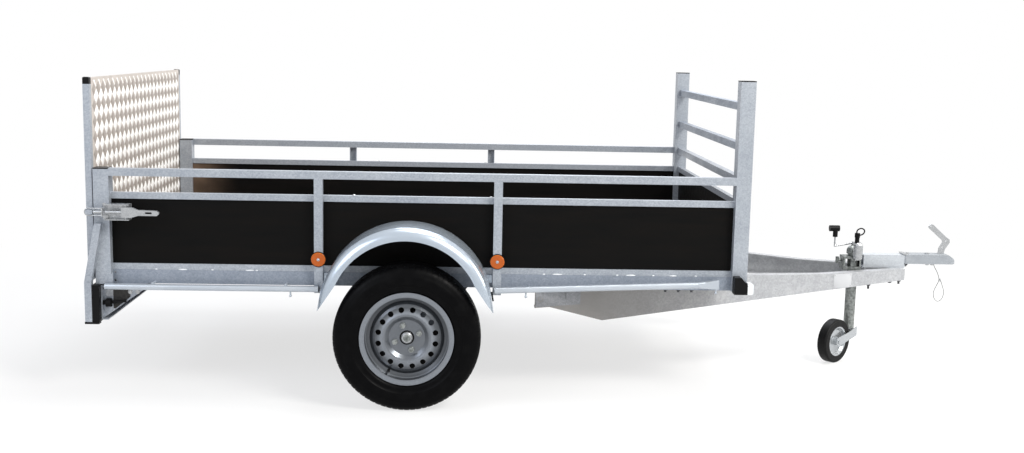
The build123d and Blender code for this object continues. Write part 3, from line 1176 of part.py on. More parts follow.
def jockey_fork():
    """Folded fork under the slider: head plate, front wall and two cheeks down to the axle."""
    r, t = JOCKEY_WHEEL_R, FORK_PLATE
    half = JOCKEY_WHEEL_WIDTH / 2 + FORK_GAP
    front, back = -JOCKEY_TUBE_R + 4, JOCKEY_TRAIL - r - FORK_GAP + 6
    head = block((front, back), (-half - t, half + t), (FORK_TOP - 1.5 * t, FORK_TOP))
    head += block((front, front + t), (-half - t, half + t), (FORK_TOP - 8 * t, FORK_TOP))
    head += rod((0, 0, FORK_TOP - 1), (0, 0, FORK_TOP + SWIVEL_PIN_LENGTH), SWIVEL_PIN_R)
    c = FORK_CHEEK_R
    outline = Polyline((front, half, FORK_TOP + 9), (JOCKEY_TRAIL * 0.35, half, r + c * 1.55),
                       (JOCKEY_TRAIL, half, r + c), (JOCKEY_TRAIL, half, r - c),
                       (JOCKEY_TRAIL * 0.3, half, r - c * 0.1), (front, half, r + 10), close=True)
    cheek = extrude(make_face(outline), t, dir=(0, 1, 0))
    cheek += rod((JOCKEY_TRAIL, half, r), (JOCKEY_TRAIL, half + t, r), c)
    cheek += rod((JOCKEY_TRAIL, half + t, r), (JOCKEY_TRAIL, half + 2 * t, r), 11)
    fork = head
    for part in both(cheek):
        fork += part
    fork += rod((JOCKEY_TRAIL, -half - 1, r), (JOCKEY_TRAIL, half + 1, r), JOCKEY_AXLE_R)
    return jockey_place() * fork


def jockey_rim():
    """Solid-rimmed disc, dished on both faces and bored for the axle."""
    r, w, rim = JOCKEY_WHEEL_R, JOCKEY_WHEEL_WIDTH / 2, JOCKEY_RIM_R
    bore = JOCKEY_AXLE_R + JOCKEY_AXLE_RUNNING
    half = [(bore, w + 2), (bore + 9, w + 2), (bore + 11, w - 12), (rim - 16, w - 15),
            (rim - 7, w - 4), (rim, w - 2)]
    outline = [(0, y, radius) for radius, y in half] + [(0, -y, radius) for radius, y in reversed(half)]
    disc = revolve(make_face(Polyline(*outline, close=True)), Axis.Y, 360)
    return jockey_place() * (Pos(JOCKEY_TRAIL, 0, r) * disc)


def jockey_tyre():
    """Solid rubber tyre with rounded shoulders."""
    r, w = JOCKEY_WHEEL_R, JOCKEY_WHEEL_WIDTH / 2
    ring = rod((JOCKEY_TRAIL, -w, r), (JOCKEY_TRAIL, w, r), r)
    ring = fillet(ring.edges().filter_by(GeomType.CIRCLE), 9)
    ring -= rod((JOCKEY_TRAIL, -w - 1, r), (JOCKEY_TRAIL, w + 1, r), JOCKEY_RIM_R)
    return jockey_place() * ring


# ---------------------------------------------------------------- writing
def tube_caps():
    """Plastic plugs: on the posts, in the tie tubes' ends and under the rear guards."""
    return post_caps() + tie_caps() + guard_feet()


def lamp_housings():
    return tail_lamps() + marker_bodies()


def write(name, shapes):
    """Move a node by AXLE_X and write it as one STEP file."""
    if not isinstance(shapes, (list, tuple)):
        shapes = [shapes]
    moved = [Pos(AXLE_X, 0, 0) * s for s in shapes]
    solids = [solid for s in moved for solid in s.solids()]
    export_step(solids[0] if len(solids) == 1 else Compound(children=solids), f"parts/{name}.step")


NODES = {
    "floor_board": floor_board, "side_beams": side_beams, "cross_members": cross_members,
    "rear_posts": rear_posts, "front_posts": front_posts, "side_top_rails": side_top_rails,
    "panel_rails": panel_rails, "side_panels": side_panels, "front_panel": front_panel,
    "front_rails": front_rails, "side_stays": side_stays, "side_reflectors": side_reflectors,
    "headboard_posts": headboard_posts, "headboard_bars": headboard_bars, "tube_caps": tube_caps,
    "reflector_rims": reflector_rims, "latch_bases": latch_bases,
    "latch_levers": latch_levers, "latch_loops": latch_loops,
    "tail_lenses": tail_lenses, "guard_buffers": guard_buffers,
    "marker_lenses": marker_lenses, "jockey_grip": jockey_grip,
    "plug_holder": plug_holder, "plug": plug, "safety_wire": safety_wire,
    "ramp_frame": ramp_frame, "ramp_plate": ramp_plate, "ramp_caps": ramp_caps,
    "hinge_pins": hinge_pins, "rear_guards": rear_guards, "light_bar": light_bar,
    "lamp_housings": lamp_housings, "axle_tube": axle_tube, "tie_tubes": tie_tubes,
    "draw_tube": draw_tube, "coupling_head": coupling_head, "coupling_lever": coupling_lever,
    "jockey_clamp": jockey_clamp, "jockey_tube": jockey_tube, "jockey_crank": jockey_crank,
    "jockey_slider": jockey_slider, "jockey_fork": jockey_fork, "jockey_rim": jockey_rim,
    "jockey_tyre": jockey_tyre}
PAIRS = {"tyre": tyre, "rim": rim, "hub": hub, "swing_arm": swing_arm, "mudguard": mudguard,
         "drawbar": drawbar}


def main():
    os.makedirs("parts", exist_ok=True)
    for name, make in NODES.items():
        write(name, make())
    for name, make in PAIRS.items():
        for side_name, side in SIDES:
            write(f"{name}_{side_name}", make(side))


main()
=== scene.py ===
"""Dressed scene of a single-axle utility trailer with a drop-down ramp, a headboard and a jockey wheel."""

import logging
import math
from dataclasses import dataclass
from enum import Enum

import bmesh
import bpy
from mathutils import Matrix, Vector


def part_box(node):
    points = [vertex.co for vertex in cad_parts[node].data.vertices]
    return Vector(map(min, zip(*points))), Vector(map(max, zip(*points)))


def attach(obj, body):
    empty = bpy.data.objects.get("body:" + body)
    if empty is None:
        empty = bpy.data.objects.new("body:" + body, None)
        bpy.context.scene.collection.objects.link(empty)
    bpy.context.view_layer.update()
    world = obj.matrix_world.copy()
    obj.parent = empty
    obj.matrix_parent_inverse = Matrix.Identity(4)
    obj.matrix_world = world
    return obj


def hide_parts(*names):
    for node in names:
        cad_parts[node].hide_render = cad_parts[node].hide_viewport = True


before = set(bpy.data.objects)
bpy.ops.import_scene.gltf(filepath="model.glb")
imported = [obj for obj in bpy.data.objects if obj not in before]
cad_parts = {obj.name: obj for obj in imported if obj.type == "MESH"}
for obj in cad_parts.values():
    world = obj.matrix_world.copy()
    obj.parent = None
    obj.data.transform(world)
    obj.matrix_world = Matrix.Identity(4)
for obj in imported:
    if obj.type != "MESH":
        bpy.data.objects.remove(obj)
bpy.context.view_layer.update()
LOG = logging.getLogger("trailer")
MM = 0.001
AXLE_X = -0.617
SIDES = (("right", -1), ("left", 1))
OUT, UP, DOWN = Vector((0, 1, 0)), Vector((0, 0, 1)), Vector((0, 0, -1))
# A wave texture of scale 1 has about this many bands in a metre.
WAVE_BANDS = 3.14
# Bevel of small plates, and how deep a small piece sinks into what carries it.
EDGE, LAP = 0.3 * MM, 0.2 * MM

# Short names of types.
Mesh = bmesh.types.BMesh
Vert = bmesh.types.BMVert
Node = bpy.types.Node
Socket = bpy.types.NodeSocket
Pair = tuple[float, float]
Place = tuple[float, float, float]
Row = tuple[float, ...]
Lengths = tuple[Row, ...]
Stops = tuple[tuple[float, str], ...]
Outline = list[tuple[float, float, str]]


class Body(str, Enum):
    """Bodies of the trailer that new pieces ride on, by the frame's names."""

    TRAILER = "trailer"
    RAMP = "ramp"
    RIGHT_WHEEL = "right_wheel"
    LEFT_WHEEL = "left_wheel"


class Slot(str, Enum):
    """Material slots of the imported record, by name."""

    GALVANISED = "galvanised"
    PLATED = "plated_steel"
    TREAD_PLATE = "tread_plate"
    TYRE = "tyre"
    BLACK_RUBBER = "black_rubber"


# ------------------------------------------------------------------ colours and nodes
def linear(code: str) -> tuple[float, float, float, float]:
    """Turn an sRGB hex colour into a linear colour for a shader socket.

    Args:
        code: six hex digits with a leading #.

    Returns:
        Red, green, blue and an alpha of 1.
    """
    parts = [int(code[i:i + 2], 16) / 255 for i in (1, 3, 5)]
    made = [p / 12.92 if p <= 0.04045 else ((p + 0.055) / 1.055) ** 2.4 for p in parts]
    return (made[0], made[1], made[2], 1.0)


class Nodes:
    """Nodes of a material or of the world under construction."""

    def __init__(self, owner: bpy.types.Material | bpy.types.World) -> None:
        """Start with no nodes.

        Args:
            owner: the material or the world.
        """
        owner.use_nodes = True
        self.tree = owner.node_tree
        self.tree.nodes.clear()

    def fill(self, node: Node, inputs: dict | tuple) -> None:
        """Set or link a node's inputs.

        Args:
            node: the node.
            inputs: a value, node or output socket by each socket's name or index, or a tuple in their order.
        """
        given = inputs if isinstance(inputs, dict) else dict(enumerate(inputs))
        for key, value in given.items():
            if isinstance(value, Node):
                value = value.outputs[0]
            if isinstance(value, Socket):
                self.tree.links.new(value, node.inputs[key])
            else:
                node.inputs[key].default_value = value

    def add(self, kind: str, inputs: dict | tuple = (), stops: tuple = (), **settings: object) -> Node:
        """Add a node with its settings and links.

        Args:
            kind: the node's type name after ShaderNode.
            inputs: its inputs, as fill takes them.
            stops: position and hex colour of each stop of a colour ramp.
            **settings: the node's own properties.

        Returns:
            The new node.
        """
        node = self.tree.nodes.new("ShaderNode" + kind)
        for name, value in settings.items():
            setattr(node, name, value)
        self.fill(node, inputs)
        if stops:
            marks = node.color_ramp.elements
            marks.remove(marks[1])
            marks[0].position, marks[0].color = stops[0][0], linear(stops[0][1])
            for position, code in stops[1:]:
                marks.new(position).color = linear(code)
        return node


class Coat(Nodes):
    """Nodes of a finish: a principled shader, and object coordinates in metres for its patterns."""

    def __init__(self, owner: bpy.types.Material, base: dict) -> None:
        """Start with the shader and the coordinates.

        Args:
            owner: the material.
            base: the shader's plain inputs.
        """
        super().__init__(owner)
        self.shader = self.add("BsdfPrincipled", base)
        self.place = self.add("TexCoord").outputs["Object"]
        self.add("OutputMaterial", (self.shader,))

    def sized(self, size_mm: float, detail: float | None = None, place: Node | None = None) -> dict:
        """Work out a texture's inputs from a real size.

        Args:
            size_mm: about how far its features are across.
            detail: how many finer octaves it has, for noise.
            place: its coordinates, if they are squeezed.

        Returns:
            The inputs.
        """
        inputs = {"Vector": place or self.place, "Scale": 1 / (size_mm * MM)}
        if detail is not None:
            inputs["Detail"] = detail
        return inputs


# ------------------------------------------------------------------ finishes
@dataclass(frozen=True)
class Finish:
    """A surface finish: a principled shader whose look its subclass refines."""

    name: str
    colour: str
    metallic: float = 0.0
    roughness: float = 0.5

    def material(self) -> bpy.types.Material:
        """Make the Blender material of this finish, once.

        Returns:
            The material.
        """
        made = bpy.data.materials.get(self.name)
        if not made:
            made = bpy.data.materials.new(self.name)
            base = {"Base Color": linear(self.colour), "Metallic": self.metallic, "Roughness": self.roughness}
            self.dress(Coat(made, base))
        return made

    def dress(self, coat: Coat) -> None:
        """Add this finish's pattern.

        Args:
            coat: the material's nodes.
        """
        raise NotImplementedError


@dataclass(frozen=True)
class HotDipZinc(Finish):
    """Hot-dip galvanised steel: dull bright zinc with crystal spangle and cloudy runs."""

    dark: str = "#8b9199"
    bright: str = "#d4d8dc"
    spangle_mm: float = 9.0
    cloud_mm: float = 130.0
    relief_mm: float = 0.35
    cloudy: float = 0.62
    gloss_range: float = 0.11
    # Painted shadow: a darker tone over the rear of the part, fading out forwards to the given end along X.
    painted_shadow: str = ""
    shadow_ends: float = 0.0
    shadow_length: float = 0.7

    def dress(self, coat: Coat) -> None:
        """Spangle cells and slow clouds tint the zinc and change its gloss, with a painted shadow that
        darkens it towards the rear, near the wheels.

        Args:
            coat: the material's nodes.
        """
        cells = coat.add("TexVoronoi", coat.sized(self.spangle_mm)).outputs["Color"]
        cell = coat.add("SeparateColor", (cells,))
        cloud = coat.add("TexNoise", coat.sized(self.cloud_mm, 5))
        mixed = coat.add("Mix", {"Factor": self.cloudy, "A": cell, "B": cloud})
        stops = ((0.18, self.dark), (0.5, self.colour), (0.82, self.bright))
        tone = coat.add("ValToRGB", (mixed,), stops).outputs["Color"]
        # Painted shadow: darker towards the rear, where the load bed's shadow falls.
        if self.painted_shadow:
            along = coat.add("SeparateXYZ", (coat.place,))
            share = coat.add("MapRange", (along, self.shadow_ends - self.shadow_length, self.shadow_ends, 1.0, 0.0))
            tone = coat.add("Mix", {0: share, 6: tone, 7: linear(self.painted_shadow)}, data_type="RGBA").outputs[2]
        dull, glossy = self.roughness + self.gloss_range, self.roughness - self.gloss_range
        rough = coat.add("MapRange", (mixed, 0.3, 0.7, dull, glossy))
        runs = coat.add("TexNoise", coat.sized(18, 4))
        relief = coat.add("Bump", {"Height": runs, "Distance": self.relief_mm * MM, "Strength": 0.35})
        coat.fill(coat.shader, {"Base Color": tone, "Roughness": rough, "Normal": relief})


@dataclass(frozen=True)
class Mottled(Finish):
    """A surface whose tone and gloss both follow slow patches, over a fine grain."""

    # Size in mm and number of finer octaves of the patches and of the grain.
    patch: Pair = (12, 2)
    grain: Pair = (5, 2)
    relief_mm: float = 0.05
    relief_share: float = 0.2
    gloss_stops: Pair = (0.35, 0.65)
    duller: Pair = (0.15, 0.0)
    shine: float = 0.5

    def stops(self) -> Stops:
        """Return the tones of the patches, or none for an even colour."""
        return ()

    def dress(self, coat: Coat) -> None:
        """Patches in tone and gloss, and the grain.

        Args:
            coat: the material's nodes.
        """
        patches = coat.add("TexNoise", coat.sized(*self.patch))
        dull, glossy = [self.roughness + more for more in self.duller]
        rough = coat.add("MapRange", (patches, *self.gloss_stops, dull, glossy))
        grain = coat.add("TexNoise", coat.sized(*self.grain))
        depth = self.relief_mm * MM
        relief = coat.add("Bump", {"Height": grain, "Distance": depth, "Strength": self.relief_share})
        coat.fill(coat.shader, {"Roughness": rough, "Specular IOR Level": self.shine, "Normal": relief})
        if self.stops():
            coat.fill(coat.shader, {"Base Color": coat.add("ValToRGB", (patches,), self.stops())})


@dataclass(frozen=True)
class ZincPlate(Mottled):
    """Electroplated zinc on small pressed and turned parts: brighter, with fine handling marks."""

    dark: str = "#8f8f8c"

    def stops(self) -> Stops:
        """Return the blotches' tones."""
        return ((0.3, self.dark), (0.62, self.colour))


@dataclass(frozen=True)
class SilverLacquer(Finish):
    """Sprayed silver wheel lacquer: fine metal flake under a clear coat, with painted shade inside the wheel.
    """

    flake: str = "#d9dde1"
    flake_mm: float = 1.6
    # Painted shade: behind the disc face the barrel is near black and less metallic, standing for the shade
    # inside the wheel.
    painted_shade: str = "#131414"
    unshaded_from: float = 0.905
    shade_fade: float = 4 * MM
    centre: Place = (AXLE_X, 0.0, 0.286)
    # Rings of painted highlight and shade round the axle: bright on the disc's ridge and the rim's flange,
    # dark in the well between.
    ring_radius: float = 0.19
    dust_and_painted_light: Stops = ((0.0, "#c8c8c8"), (0.44, "#cfcfcf"), (0.52, "#ffffff"), (0.62, "#aaaaaa"),
                   (0.74, "#b4b4b4"), (0.82, "#8a8a8a"), (0.87, "#f0f0f0"), (0.95, "#ffffff"))

    def dress(self, coat: Coat) -> None:
        """Flakes, drawn coarser than the real 0.05 mm so that they show, and rings of painted highlight and
        shade round the axle.

        Args:
            coat: the material's nodes.
        """
        cells = coat.add("TexVoronoi", coat.sized(self.flake_mm)).outputs["Color"]
        cell = coat.add("SeparateColor", (cells,))
        flakes = coat.add("ValToRGB", (cell,), ((0.0, self.colour), (0.8, self.colour), (1.0, self.flake)))
        across = coat.add("SeparateXYZ", (coat.place,)).outputs["Y"]
        across = coat.add("Math", (across,), operation="ABSOLUTE")
        unshaded = coat.add("MapRange", (across, self.unshaded_from - self.shade_fade, self.unshaded_from, 0.0, 1.0))
        spoke = coat.add("VectorMath", (coat.place, self.centre), operation="SUBTRACT")
        spoke = coat.add("Mapping", {"Vector": spoke, "Scale": (1.0, 0.0, 1.0)})
        reach = coat.add("VectorMath", (spoke,), operation="LENGTH").outputs["Value"]
        # Painted highlight and shade, in rings by the distance from the axle.
        ring = coat.add("MapRange", (reach, 0.0, self.ring_radius, 0.0, 1.0))
        painted_rings = coat.add("ValToRGB", (ring,), self.dust_and_painted_light)
        tone = coat.add("VectorMath", (flakes, painted_rings), operation="MULTIPLY")
        # Painted shade inside the wheel, behind the disc face.
        tone = coat.add("Mix", {0: unshaded, 6: linear(self.painted_shade), 7: tone}, data_type="RGBA").outputs[2]
        metal = coat.add("MapRange", (unshaded, 0.0, 1.0, 0.1, self.metallic))
        fine = coat.add("TexNoise", coat.sized(2.5, 2))
        relief = coat.add("Bump", {"Height": fine, "Distance": 0.05 * MM, "Strength": 0.3})
        coat.fill(coat.shader, {"Base Color": tone, "Metallic": metal, "Coat Weight": 0.15,
                                "Coat Roughness": 0.25, "Normal": relief})


@dataclass(frozen=True)
class PhenolicFilm(Finish):
    """Phenolic film on plywood: smooth dark film with a faint paper grain, and painted warm light in brown on
    the inner faces beside the ramp.
    """

    tint: str = "#241a15"
    grain_mm: float = 28.0
    shine: float = 0.5
    # Painted light: a patchy warm brown on the panels' inner faces, strongest at the rear end and fading out
    # forwards.
    warm_light: str = "#7d6858"
    warm_light_start: float = AXLE_X - 1.235
    warm_light_length: float = 0.30
    warm_light_falloff: float = 1.7
    inside: float = 0.712

    def dress(self, coat: Coat) -> None:
        """Slow brown tint along the veneer, satin variation, the painted warm light and the film's orange
        peel.

        Args:
            coat: the material's nodes.
        """
        drawn = coat.add("Mapping", {"Vector": coat.place, "Scale": (0.12, 1.0, 1.0)})
        grain = coat.add("TexNoise", coat.sized(self.grain_mm, 5, drawn))
        film = coat.add("ValToRGB", (grain,), ((0.35, self.colour), (0.9, self.tint)))
        axes = coat.add("SeparateXYZ", (coat.place,)).outputs
        across = coat.add("Math", (axes["Y"],), operation="ABSOLUTE")
        inner = coat.add("Math", (across, self.inside), operation="LESS_THAN")
        # Painted warm light near the rear of the inner faces.
        warm_light_end = self.warm_light_start + self.warm_light_length
        fade = coat.add("MapRange", (axes["X"], self.warm_light_start, warm_light_end, 1.0, 0.0))
        patch = coat.add("TexNoise", coat.sized(120, 4))
        patchy = coat.add("MapRange", (patch, 0.3, 0.7, 0.75, 1.25))
        fade = coat.add("Math", (fade, patchy), operation="MULTIPLY", use_clamp=True)
        fade = coat.add("Math", (fade, self.warm_light_falloff), operation="POWER")
        wear_and_warm_light = coat.add("Math", (fade, inner), operation="MULTIPLY")
        tone = coat.add("Mix", {0: wear_and_warm_light, 6: film, 7: linear(self.warm_light)}, data_type="RGBA").outputs[2]
        rough = coat.add("MapRange", (grain, 0.3, 0.7, self.roughness - 0.05, self.roughness + 0.08))
        peel = coat.add("TexNoise", coat.sized(3, 3))
        relief = coat.add("Bump", {"Height": peel, "Distance": 0.05 * MM, "Strength": 0.3})
        coat.fill(coat.shader, {"Base Color": tone, "Roughness": rough, "Specular IOR Level": self.shine,
                                "Normal": relief})


@dataclass(frozen=True)
class AntiSlipFilm(Finish):
    """Floor film pressed with a wire-mesh pattern, dark brown, with wear along the wires."""

    wear: str = "#5a4538"
    mesh_mm: float = 9.0

    def dress(self, coat: Coat) -> None:
        """Two crossing waves make the mesh, drawn at twice the real 4.5 mm so that it shows.

        Args:
            coat: the material's nodes.
        """
        size = coat.sized(self.mesh_mm * WAVE_BANDS)
        wires = [coat.add("TexWave", size, bands_direction=way).outputs["Fac"] for way in ("X", "Y")]
        height = coat.add("Math", (wires[0], wires[1]), operation="MAXIMUM")
        wear_and_warm_light = coat.add("TexNoise", coat.sized(240, 5))
        both = coat.add("Math", (height, wear_and_warm_light), operation="MULTIPLY")
        tone = coat.add("ValToRGB", (both,), ((0.2, self.colour), (0.75, self.wear)))
        relief = coat.add("Bump", {"Height": height, "Distance": 0.4 * MM, "Strength": 0.7})
        coat.fill(coat.shader, {"Base Color": tone, "Normal": relief})


@dataclass(frozen=True)
class RolledAluminium(Finish):
    """Mill-rolled aluminium: warm bright metal with rolling lines along the sheet."""

    dark: str = "#8f8882"
    line_mm: float = 2.2

    def dress(self, coat: Coat) -> None:
        """Rolling lines along Y and slow patches.

        Args:
            coat: the material's nodes.
        """
        drawn = coat.add("Mapping", {"Vector": coat.place, "Scale": (1.0, 0.03, 1.0)})
        lines = coat.add("TexNoise", coat.sized(self.line_mm, 3, drawn))
        patch = coat.add("TexNoise", coat.sized(60, 4))
        mixed = coat.add("Mix", {"Factor": 0.5, "A": lines, "B": patch})
        tone = coat.add("ValToRGB", (mixed,), ((0.25, self.dark), (0.7, self.colour)))
        rough = coat.add("MapRange", (mixed, 0.3, 0.7, self.roughness + 0.1, self.roughness - 0.05))
        coat.fill(coat.shader, {"Base Color": tone, "Roughness": rough})


@dataclass(frozen=True)
class Rubber(Mottled):
    """Vulcanised rubber: near black, with a moulded grain, a dusting and a dull sheen."""

    dust_and_painted_light: str = "#2c2c2c"
    patch: Pair = (35, 5)
    grain: Pair = (1.8, 2)
    relief_mm: float = 0.12
    relief_share: float = 0.35
    gloss_stops: Pair = (0.35, 0.7)
    duller: Pair = (-0.06, 0.14)

    def stops(self) -> Stops:
        """Return the tones of bare rubber and of its dusting."""
        return ((0.45, self.colour), (0.85, self.dust_and_painted_light))


@dataclass(frozen=True)
class MouldedPlastic(Mottled):
    """Injection-moulded plastic of an even colour, with a faint bloom and a fine spark-eroded grain."""

    patch: Pair = (22, 3)
    grain: Pair = (1.0, 2)
    relief_mm: float = 0.06
    relief_share: float = 0.4
    gloss_stops: Pair = (0.3, 0.7)
    duller: Pair = (-0.05, 0.1)


@dataclass(frozen=True)
class MouldedLens(Finish):
    """Clear-coloured acrylic lens: glossy, with prism ribs moulded behind its face."""

    deep: str = "#801008"
    rib_mm: float = 5.0
    direction: str = "Y"
    gloss: float = 0.8

    def dress(self, coat: Coat) -> None:
        """Ribs show as relief and as a darker tone between the prisms.

        Args:
            coat: the material's nodes.
        """
        size = coat.sized(self.rib_mm * WAVE_BANDS)
        rib = coat.add("TexWave", size, bands_direction=self.direction).outputs["Fac"]
        tone = coat.add("ValToRGB", (rib,), ((0.1, self.deep), (0.8, self.colour)))
        relief = coat.add("Bump", {"Height": rib, "Distance": 0.4 * MM, "Strength": 0.35})
        coat.fill(coat.shader, {"Base Color": tone, "Coat Weight": self.gloss, "Specular IOR Level": 0.3,
                                "Coat Roughness": 0.05, "Normal": relief})


FRAME_ZINC = HotDipZinc("hot_dip_zinc_frame", "#9aa0a8", 0.35, 0.42, dark="#8c929b", bright="#acb1b8",
                        spangle_mm=5)
# A darker copy of the frame's zinc as painted shade, for the parts under the bed and the headboard bars.
SHADED_ZINC = HotDipZinc("hot_dip_zinc_painted_shade", "#858d99", 0.35, 0.45, dark="#79818c", bright="#939aa6",
                       spangle_mm=6)
# The drawbar carries a painted shadow over its rear end, under the load bed.
DRAWBAR_ZINC = HotDipZinc("hot_dip_zinc_drawbar", "#a0a2a6", 0.25, 0.5, dark="#94969a", bright="#b1b3b6",
                          spangle_mm=7, cloud_mm=60, painted_shadow="#868482", shadow_ends=AXLE_X + 1.45)
# Darker zinc for the bracket plates on the drawbar's rear ends, as painted shade there.
SHADED_BRACKET_ZINC = HotDipZinc("hot_dip_zinc_bracket_painted_shade", "#85878b", 0.25, 0.5, dark="#7a7c80", bright="#939599",
                          spangle_mm=5, cloud_mm=30)
TIE_ZINC = HotDipZinc("hot_dip_zinc_tube", "#b2b9c1", 0.5, 0.24, dark="#a9b0b9", bright="#bdc3ca",
                      spangle_mm=4, relief_mm=0.02, cloudy=0.97, gloss_range=0.03)
DRAW_ZINC = HotDipZinc("fresh_hot_dip_zinc", "#b4b9bf", 0.3, 0.4, dark="#abb0b6", bright="#bfc4c9",
                       spangle_mm=6, cloud_mm=80)
HEAD_ZINC = HotDipZinc("hot_dip_zinc_coupling", "#94999f", 0.35, 0.4, dark="#8a8f95", bright="#a3a8ad",
                       spangle_mm=5, cloud_mm=40, relief_mm=0.1, cloudy=0.9)
GUARD_ZINC = HotDipZinc("zinc_coated_sheet", "#aeb8c3", 0.65, 0.24, dark="#aab4bf", bright="#b3bdc8",
                        spangle_mm=3, cloud_mm=90, relief_mm=0.02, cloudy=0.98, gloss_range=0.03)
PLATED = ZincPlate("zinc_plated_steel", "#b4b6b8", 0.85, 0.24, dark="#a4a6a8")
WELD = ZincPlate("bright_zinc_weld", "#e6e9eb", 0.1, 0.4, dark="#cfd3d6")
# A near-black finish of painted shade, for the plates that stand for the gussets' shaded recesses.
SHADED_STEEL = ZincPlate("painted_shade_steel", "#2b2927", 0.1, 0.6, dark="#1a1918")
# Darker plated steel for the nuts that hang under the beams.
DARK_PLATED = ZincPlate("dark_zinc_plated_steel", "#55565a", 0.6, 0.4, dark="#333437")
DULL_PLATED = ZincPlate("dull_zinc_plated_steel", "#8f9391", 0.7, 0.38, dark="#5c605f")
WHEEL_SILVER = SilverLacquer("silver_wheel_lacquer", "#80858c", 0.8, 0.32, flake="#94989e")
JOCKEY_SILVER = SilverLacquer("jockey_wheel_lacquer", "#aaaeb2", 0.65, 0.26, flake="#bdc1c5",
                              unshaded_from=0.0, dust_and_painted_light=((0.0, "#ffffff"), (1.0, "#ffffff")))
SIDE_FILM = PhenolicFilm("black_film_plywood", "#090909", 0.0, 0.5, shine=0.07, tint="#100d0b")
FLOOR_FILM = AntiSlipFilm("anti_slip_film_plywood", "#33251d", 0.0, 0.55)
TREAD = RolledAluminium("rolled_aluminium_tread", "#cdc5be", 0.4, 0.42, dark="#b9b1aa")
# The two sets of tread bars are one aluminium: the rising set is painted near white as a highlight, the
# falling set darker as painted shade.
LIT_TREAD_BARS = RolledAluminium("tread_bars_painted_highlight", "#ffffff", 0.0, 0.35, dark="#fbf9f7")
SHADED_TREAD_BARS = RolledAluminium("tread_bars_painted_shade", "#a79f98", 0.45, 0.42, dark="#948c85")
ROAD_RUBBER = Rubber("road_tyre_rubber", "#050506", 0.0, 0.38, dust_and_painted_light="#0b0b0c", shine=0.05)
SOLID_RUBBER = Rubber("solid_tyre_rubber", "#0b0b0c", 0.0, 0.5, dust_and_painted_light="#171718", shine=0.15)
TRIM_RUBBER = Rubber("black_trim_rubber", "#0a0a0b", 0.0, 0.55, dust_and_painted_light="#131314", shine=0.12)
BLACK_PLASTIC = MouldedPlastic("black_moulded_plastic", "#09090a", 0.0, 0.4, shine=0.14)
AMBER = MouldedLens("amber_acrylic_lens", "#d27006", 0.0, 0.2, deep="#ae5004", rib_mm=4, gloss=0.25)
RED = MouldedLens("red_acrylic_lens", "#b3140d", 0.0, 0.18)
CLEAR = MouldedLens("clear_acrylic_lens", "#d6dadd", 0.0, 0.2, deep="#a9b0b6", rib_mm=6, gloss=0.4)
WIRE_STEEL = ZincPlate("galvanised_wire", "#8d8f8e", 0.6, 0.4, dark="#626463")
PLATE_ENAMEL = MouldedPlastic("blank_type_plate", "#b0b2b6", 0.0, 0.38)

NODE_FINISHES: dict[Finish, tuple[str, ...]] = {
    SHADED_ZINC: ("side_beams", "cross_members", "axle_tube", "swing_arm_right", "swing_arm_left",
                "headboard_bars"),
    TIE_ZINC: ("tie_tubes",),
    FRAME_ZINC: ("rear_posts", "front_posts", "side_top_rails", "panel_rails", "front_rails", "side_stays",
                 "headboard_posts", "ramp_frame", "rear_guards", "light_bar", "hinge_pins"),
    DRAWBAR_ZINC: ("drawbar_right", "drawbar_left"),
    HEAD_ZINC: ("coupling_head",),
    DRAW_ZINC: ("draw_tube",),
    GUARD_ZINC: ("mudguard_right", "mudguard_left"),
    PLATED: ("coupling_lever", "jockey_crank", "latch_bases", "latch_levers", "latch_loops", "plug_holder",
             "hub_right", "hub_left", "jockey_slider"),
    DULL_PLATED: ("jockey_tube", "jockey_clamp"),
    WHEEL_SILVER: ("rim_right", "rim_left"),
    JOCKEY_SILVER: ("jockey_rim", "jockey_fork"),
    SIDE_FILM: ("side_panels", "front_panel"),
    FLOOR_FILM: ("floor_board",),
    TREAD: ("ramp_plate",),
    ROAD_RUBBER: ("tyre_right", "tyre_left"),
    SOLID_RUBBER: ("jockey_tyre",),
    TRIM_RUBBER: ("reflector_rims", "guard_buffers"),
    BLACK_PLASTIC: ("tube_caps", "ramp_caps", "lamp_housings", "jockey_grip", "plug"),
    AMBER: ("side_reflectors",),
    RED: ("tail_lenses",),
    CLEAR: ("marker_lenses",),
    WIRE_STEEL: ("safety_wire",),
}


def dress_nodes() -> None:
    """Give every CAD node its finish."""
    for finish, names in NODE_FINISHES.items():
        for name in names:
            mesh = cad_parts[name].data
            mesh.materials.clear()
            mesh.materials.append(finish.material())
    missing = set(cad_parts) - {name for names in NODE_FINISHES.values() for name in names}
    if missing:
        raise ValueError(f"nodes without a finish: {sorted(missing)}")
    LOG.info("dressed %d nodes", len(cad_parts))


# ------------------------------------------------------------------ mesh helpers
def towards(direction: Vector) -> Matrix:
    """Return the rotation that takes +Z to a direction."""
    return direction.to_track_quat("Z", "Y").to_matrix().to_4x4()


def add_rod(bm: Mesh, start: Vector, end: Vector, radius: float, end_radius: float | None = None,
            segments: int = 20) -> list[Vert]:
    """Add a closed cylinder or cone between two points.

    Args:
        bm: the mesh under construction.
        start: centre of the first end.
        end: centre of the second end.
        radius: radius at the start.
        end_radius: radius at the end, if it differs.
        segments: number of sides.

    Returns:
        The new vertices.
    """
    run = end - start
    place = Matrix.Translation((start + end) / 2) @ towards(run)
    last = radius if end_radius is None else end_radius
    made = bmesh.ops.create_cone(bm, cap_ends=True, segments=segments, radius1=radius, radius2=last,
                                 depth=run.length, matrix=place)
    return made["verts"]


